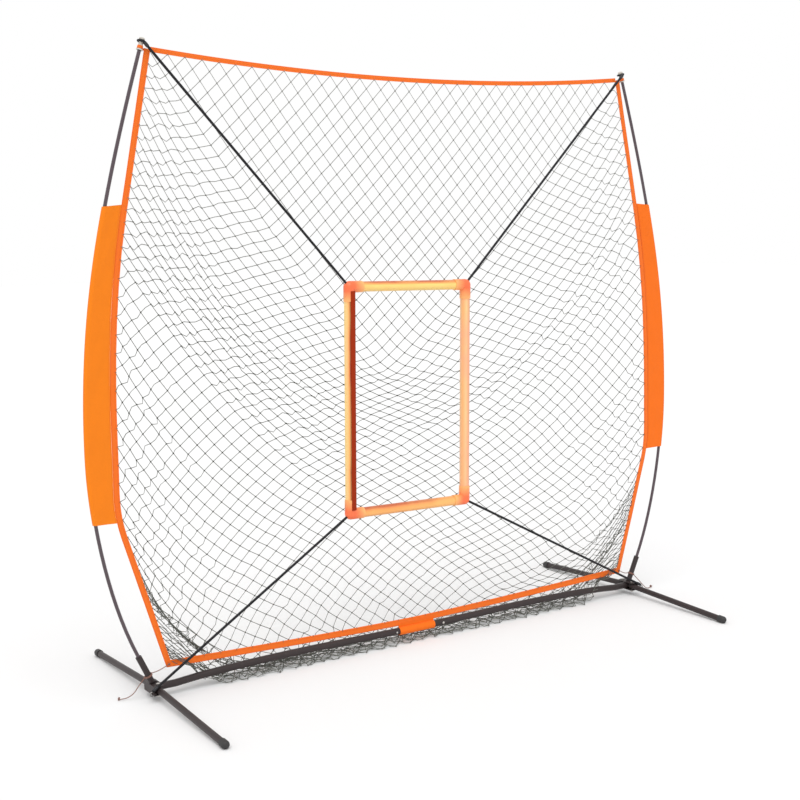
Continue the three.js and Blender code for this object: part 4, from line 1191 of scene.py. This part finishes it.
class TARGETNET_OT_tapes(bpy.types.Operator):
    """Sews the binding tapes round the net's four edges"""
    bl_idname = "target_net.tapes"
    bl_label = "Tapes"

    def execute(self, context):
        sizes, colours = settings().sizes, settings().colours
        # The side and bottom tapes run on past the net's lower corners, so that they meet there in a point.
        corner_x, corner_z = SIDE_LINE[0]
        side = [(corner_x - 0.0026, corner_z - 0.0086), *SIDE_LINE]
        low_span, top_span = corner_x + 0.0035, SIDE_LINE[-1][0] - sizes.side_tape / 2
        low_edge, top_edge = np.linspace(-low_span, low_span, 41), np.linspace(top_span, -top_span, 41)
        lines = {
            "side_tape_left": ([(-x, z) for x, z in side][::-1], sizes.side_tape),
            "side_tape_right": (side, sizes.side_tape),
            "top_tape": ([(x, top_height(x)) for x in top_edge], sizes.top_tape),
            "bottom_tape": ([(x, bottom_height(x)) for x in low_edge], sizes.bottom_tape),
        }
        for seed, (node, (line, width)) in enumerate(lines.items()):
            points, faces, uvs, run = ribbon_mesh(line, width, sizes.tape_thick, seed)
            piece = new_piece(f"{node}_webbing", points, faces, uvs)
            face_out(piece)
            smooth(piece, 50)
            edge = width / 2
            piece.data.materials.append(woven(f"{node}_weave", colours.tape, colours.thread, 0.0011,
                                              lines=(edge - 0.0025, -edge + 0.0062)))
            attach(piece, "frame")
            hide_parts(node)
        return {"FINISHED"}


# ---- Sleeves over the poles ----
SLEEVE_IN = (0.604, 1.617)
SLEEVE_OUT = (0.607, 1.612)


def sleeve_sheet(side, seed):
    """One cloth that leaves the tape, passes round the pole and comes back: a grid of points with UVs."""
    stations, flat, round_steps, tape_edge = 90, 9, 12, 0.0112
    pole = np.array(POLE_LINE)
    inner_z = np.linspace(*SLEEVE_IN, stations)
    outer_z = np.linspace(*SLEEVE_OUT, stations)
    inner = np.stack([side_x(inner_z) + tape_edge, inner_z], 1)
    curve = np.array([tuple(p) for p in smooth_path([(x, 0, z) for x, z in pole], 8)])
    outer = np.stack([np.interp(outer_z, curve[:, 2], curve[:, 0]), outer_z], 1)
    radius, lip = 0.0093, 0.0009
    run = run_along((inner + outer) / 2)
    grid, uvs = [], []
    for k in range(stations):
        reach = np.linalg.norm(outer[k] - inner[k])
        way = (outer[k] - inner[k]) / reach
        tangent = math.acos(radius / reach)
        row = []
        touch = (reach - radius * math.cos(tangent), radius * math.sin(tangent))
        for i in range(flat):
            t = i / flat
            row.append((t * touch[0], -(lip + (touch[1] - lip) * t), math.sin(math.pi * t)))
        for i in range(round_steps + 1):
            turn = tangent + (2 * math.pi - 2 * tangent) * i / round_steps
            row.append((reach - radius * math.cos(turn), -radius * math.sin(turn), 0.0))
        row += [(a, -b, w) for a, b, w in row[flat - 1::-1]]
        girth = girth_along([(a, b) for a, b, _ in row])
        ripple = edge_noise(np.array([run[k] * 1.9 + seed]), seed, 0.0016)[0]
        for (a, b, w), g in zip(row, girth):
            slant = edge_noise(np.array([run[k] * 3.1 + a * 9 + (1 if b > 0 else 0)]), seed + 1, 0.0009)[0]
            x, z = inner[k] + way * a
            grid.append((side * x, b + w * (ripple + slant), z))
            uvs.append((run[k], g))
    return grid, sheet_faces(stations, len(row)), uvs, run[-1], girth[-1]


class TARGETNET_OT_sleeves(bpy.types.Operator):
    """Wraps the fabric sleeves round the poles"""
    bl_idname = "target_net.sleeves"
    bl_label = "Sleeves"

    def execute(self, context):
        colours = settings().colours
        for side, word in ((-1, "left"), (1, "right")):
            points, faces, uvs, run, girth = sleeve_sheet(side, side + 2)
            piece = new_piece(f"pole_sleeve_{word}_cloth", points, faces, uvs)
            thicken(piece, 0.0009)
            tone = colours.sleeve if side < 0 else colours.patch
            finish = woven(f"pole_sleeve_{word}_weave", tone, colours.thread, 0.0016,
                           lines=(0.004, float(girth) - 0.004))
            piece.data.materials.append(finish)
            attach(piece, "frame")
            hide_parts(f"pole_sleeve_{word}")
        return {"FINISHED"}


# ---- Wrap round the bar ----
class TARGETNET_OT_wrap(bpy.types.Operator):
    """Passes the middle wrap from the bottom tape round the base bar"""
    bl_idname = "target_net.wrap"
    bl_label = "Middle Wrap"

    def execute(self, context):
        colours = settings().colours
        middle, half, radius = -0.012, 0.078, 0.0148
        stations, turns = 40, 26
        neck = bottom_height(middle) - settings().sizes.bottom_tape / 2 + 0.004
        lip = [(0.0028, 0.006), (0.0026, 0), (0.0018, -0.003)]
        grid, uvs = [], []
        opening = math.asin(0.0012 / radius)
        for x in np.linspace(middle - half, middle + half, stations):
            swell = 1 + edge_noise(np.array([x * 6]), 3, 0.03)[0]
            row = [(-y, neck + z) for y, z in lip]
            for i in range(turns + 1):
                turn = math.pi / 2 + opening + (2 * math.pi - 2 * opening) * i / turns
                ripple = 1 + 0.022 * math.sin(5 * turn + x * 90) * math.sin(2 * turn)
                out = radius * swell * ripple
                row.append((out * math.cos(turn), BAR_AXIS_Z + out * math.sin(turn)))
            row += [(y, neck + z) for y, z in lip[::-1]]
            girth = girth_along(row)
            sway = edge_noise(np.array([x * 4]), 5, 0.001)[0]
            grid += [(x, y, z) for y, z in row]
            uvs += [(x + sway, g) for g in girth]
        piece = new_piece("center_wrap_cloth", grid, sheet_faces(stations, len(row)), uvs)
        thicken(piece, 0.0012)
        piece.data.materials.append(woven("center_wrap_weave", colours.patch, colours.thread, 0.0016,
                                          lines=(0.003, float(girth[-1]) - 0.003)))
        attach(piece, "frame")
        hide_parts("center_wrap")
        return {"FINISHED"}


# ---- Loops at the pole tips ----
class TARGETNET_OT_corner_loops(bpy.types.Operator):
    """Rounds off and weaves the webbing loops that hold the net's top corners"""
    bl_idname = "target_net.corner_loops"
    bl_label = "Corner Loops"

    def execute(self, context):
        colours = settings().colours
        for word in ("left", "right"):
            piece = merged_copy(f"corner_loop_{word}", f"corner_loop_{word}_webbing")
            edit_whole(piece)
            bpy.ops.mesh.dissolve_limited(angle_limit=math.radians(3))
            end_edit()
            soft_edges(piece, 0.0005, 50)
            apply_modifiers(piece)
            mesh = piece.data
            if mesh.uv_layers:
                mesh.uv_layers.remove(mesh.uv_layers[0])
            layer = mesh.uv_layers.new(name="UVMap")
            for loop in mesh.loops:
                co = mesh.vertices[loop.vertex_index].co
                layer.data[loop.index].uv = (co.z, abs(co.x) - 1.0)
            smooth(piece, 40)
            finish = woven(f"corner_loop_{word}_weave", colours.tape, colours.thread, 0.0011)
            piece.data.materials.append(finish)
            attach(piece, "frame")
            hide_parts(f"corner_loop_{word}")
        return {"FINISHED"}


# ---- Finishes for the frame's own solids ----
def soften_group():
    """Joins the loose triangles and shades them smooth wherever two meet at a shallow angle."""
    group = bpy.data.node_groups.new("Rounded Shading", "GeometryNodeTree")
    group.interface.new_socket(name="Geometry", in_out="INPUT", socket_type="NodeSocketGeometry")
    group.interface.new_socket(name="Geometry", in_out="OUTPUT", socket_type="NodeSocketGeometry")
    graph = Graph(group)
    start = graph.add("NodeGroupInput")
    merged = graph.add("GeometryNodeMergeByDistance", Geometry=start.outputs[0], Distance=1e-5)
    rounded = graph.add("GeometryNodeSetShadeSmooth", Geometry=merged.outputs[0])
    angle = graph.add("GeometryNodeInputMeshEdgeAngle")
    steep = graph.math("GREATER_THAN", angle.outputs["Unsigned Angle"], math.radians(36))
    crisp = graph.add("GeometryNodeSetShadeSmooth", {"domain": "EDGE"}, Geometry=rounded.outputs[0],
                      Selection=steep)
    crisp.inputs["Shade Smooth"].default_value = False
    graph.add("NodeGroupOutput", i0=crisp.outputs[0])
    return group


class TARGETNET_OT_frame_finishes(bpy.types.Operator):
    """Paints, plates and moulds the finish of every solid part of the frame and target"""
    bl_idname = "target_net.frame_finishes"
    bl_label = "Frame Finishes"

    def execute(self, context):
        colours = settings().colours
        steel = powder_coat("base_powder_coat", colours.steel)
        zinc = plated("fastener_zinc", (0.62, 0.60, 0.56))
        button = plated("button_steel", (0.55, 0.54, 0.52), 0.28)
        rod = fibre_rod("pole_fibreglass", colours.pole)
        finishes = {
            "base_bar": steel, "base_spigot": steel, "hub": steel, "leg_front": steel, "leg_rear": steel,
            "spigot_rivet": zinc, "pivot_bolt": zinc, "pivot_nut": zinc, "button_spring": button,
            "snap_button": button, "leg_cap": moulded("cap_rubber", colours.rubber, 0.62, 0.2, 900),
            "pole_lower": rod, "pole_upper": rod,
            "pole_ferrule": plated("ferrule_alloy", (0.36, 0.34, 0.34), 0.38),
            "pole_tip": moulded("pole_tip_plastic", colours.tip, 0.5, 0.08),
            "target_corner": elbow_skin("elbow_plastic", colours.elbow, shade(colours.target, 0.97)),
        }
        right, high = TARGET_SIZE[0] / 2, TARGET_SIZE[1] / 2
        tone, pink, shade_strip = colours.target, (1.0, 0.40, 0.24), colours.target_painted_shade
        # Lighter tones for the painted highlight on the bars, darker tones for the painted shade along their
        # edges.
        highlight_amber, highlight_sand = (1.0, 0.70, 0.20), (1.0, 0.62, 0.28)
        shade_clay, shade_brick = (0.78, 0.26, 0.08), (0.58, 0.13, 0.04)
        # The camera's right: across the side bars the painted highlight and shade lie as the camera sees them.
        facing = (0.837, -0.546, 0)
        finishes.update({
            # Left bar: painted highlight on its left side, painted shade towards its right, ending in the dark
            # painted-shade strip.
            "target_bar_left": target_skin("left_bar_skin", (-right, 0), facing, [
                (0.04, highlight_amber), (0.22, highlight_sand), (0.4, tone), (0.52, (0.80, 0.24, 0.05)), (0.6, shade_strip),
                (0.9, shade_strip)], highlight_amber, 0.3),
            # Right bar: painted highlight right of its middle, painted shade at its right edge.
            "target_bar_right": target_skin("right_bar_skin", (right, 0), facing, [
                (0.05, shade(highlight_sand, 0.86)), (0.3, tone), (0.62, highlight_sand), (0.92, (0.80, 0.38, 0.18))], pink),
            # Top and bottom bars: painted highlight through the middle, painted shade along the upper edge.
            "target_bar_top": target_skin("top_bar_skin", (0, high), (0, 0, 1), [
                (0.08, (0.88, 0.60, 0.18)), (0.4, highlight_amber), (0.6, highlight_amber), (0.74, (0.95, 0.38, 0.10)),
                (0.88, shade_brick)], (1.0, 0.52, 0.14)),
            "target_bar_bottom": target_skin("bottom_bar_skin", (0, -high), (0, 0, 1), [
                (0.08, (0.80, 0.34, 0.11)), (0.35, (1.0, 0.46, 0.13)), (0.6, (0.96, 0.38, 0.10)),
                (0.76, shade_clay), (0.88, shade_brick)], (1.0, 0.54, 0.16)),
        })
        softened = soften_group()
        for name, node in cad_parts.items():
            finish = next((f for key, f in finishes.items() if name.startswith(key)), None)
            if finish is None:
                continue
            node.data.materials.clear()
            node.data.materials.append(finish)
            for slot in node.material_slots:
                slot.material = finish
            node.modifiers.new("Rounded Shading", "NODES").node_group = softened
        return {"FINISHED"}


# ---- Stage ----
class TARGETNET_OT_stage(bpy.types.Operator):
    """Lays the pale floor and sets the level studio light"""
    bl_idname = "target_net.stage"
    bl_label = "Stage"

    def execute(self, context):
        stage = settings().stage
        bpy.ops.object.select_all(action="DESELECT")
        drop = 0.0004
        bpy.ops.mesh.primitive_plane_add(size=80, location=(0, 0, -drop))
        floor = bpy.context.object
        floor.name = "studio_floor"
        paper = bpy.data.materials.new("studio_floor")
        paper.use_nodes = True
        graph = Graph(paper.node_tree)
        nodes = graph.tree.nodes
        nodes.remove(nodes["Principled BSDF"])
        matt = graph.add("ShaderNodeBsdfDiffuse", Color=stage.floor)
        seen = graph.add("ShaderNodeBsdfDiffuse", Color=(0.83, 0.83, 0.83))
        glow = graph.add("ShaderNodeEmission", Strength=0.02)
        lit = graph.add("ShaderNodeAddShader", i0=seen.outputs[0], i1=glow.outputs[0])
        ray = graph.add("ShaderNodeLightPath")
        choose = graph.add("ShaderNodeMixShader", i0=ray.outputs["Is Camera Ray"], i1=matt.outputs[0],
                           i2=lit.outputs[0])
        graph.feed(nodes["Material Output"].inputs["Surface"], choose.outputs[0])
        floor.data.materials.append(paper)

        world = bpy.data.worlds.new("studio_light")
        world.use_nodes = True
        graph = Graph(world.node_tree)
        sky = graph.tree.nodes["Background"]
        graph.feed(sky.inputs["Color"], (1, 1, 1))
        ray = graph.add("ShaderNodeLightPath")
        clear = graph.math("MAXIMUM", ray.outputs["Is Glossy Ray"], ray.outputs["Is Transmission Ray"])
        shown = graph.math("MAXIMUM", ray.outputs["Is Camera Ray"], clear)
        level = graph.add("ShaderNodeMix", {"data_type": "FLOAT"}, i0=shown, i2=stage.sky, i3=1.0)
        graph.feed(sky.inputs["Strength"], level.outputs[0])
        bpy.context.scene.world = world

        bpy.ops.object.light_add(type="SUN", rotation=(math.radians(24), math.radians(-16), 0))
        lamp = bpy.context.object
        lamp.name = "studio_lamp"
        lamp.data.energy, lamp.data.angle = stage.lamp, math.radians(50)
        bpy.context.scene.view_settings.view_transform = "Standard"
        return {"FINISHED"}


# ---- Panel ----
BUILD_ORDER = ["camera", "ties", "bungees", "flap", "spring", "tapes", "sleeves", "wrap", "corner_loops",
               "netting", "frame_finishes", "stage"]


class TARGETNET_PT_build(bpy.types.Panel):
    """Sizes, colours and building steps of the pitching target net"""
    bl_idname = "TARGETNET_PT_build"
    bl_label = "Pitching Target Net"
    bl_space_type = "VIEW_3D"
    bl_region_type = "UI"
    bl_category = "Target Net"

    def draw(self, context):
        chosen = context.scene.target_net
        for title, group in (("Sizes", chosen.sizes), ("Colours", chosen.colours), ("Stage", chosen.stage)):
            box = self.layout.box()
            box.label(text=title)
            for name in group.bl_rna.properties.keys():
                if name not in ("rna_type", "name"):
                    box.prop(group, name)
        for step in BUILD_ORDER:
            self.layout.operator(f"target_net.{step}")


CLASSES = [
    NetSizes, NetColours, NetStage, NetSettings, TARGETNET_OT_camera, TARGETNET_OT_ties, TARGETNET_OT_bungees,
    TARGETNET_OT_flap, TARGETNET_OT_spring, TARGETNET_OT_tapes, TARGETNET_OT_sleeves, TARGETNET_OT_wrap,
    TARGETNET_OT_corner_loops, TARGETNET_OT_netting, TARGETNET_OT_frame_finishes, TARGETNET_OT_stage,
    TARGETNET_PT_build,
]


def register():
    for item in CLASSES:
        bpy.utils.register_class(item)
    bpy.types.Scene.target_net = PointerProperty(type=NetSettings)


def unregister():
    del bpy.types.Scene.target_net
    for item in reversed(CLASSES):
        bpy.utils.unregister_class(item)


def main():
    register()
    for step in BUILD_ORDER:
        getattr(bpy.ops.target_net, step)()


if __name__ == "__main__":
    main()
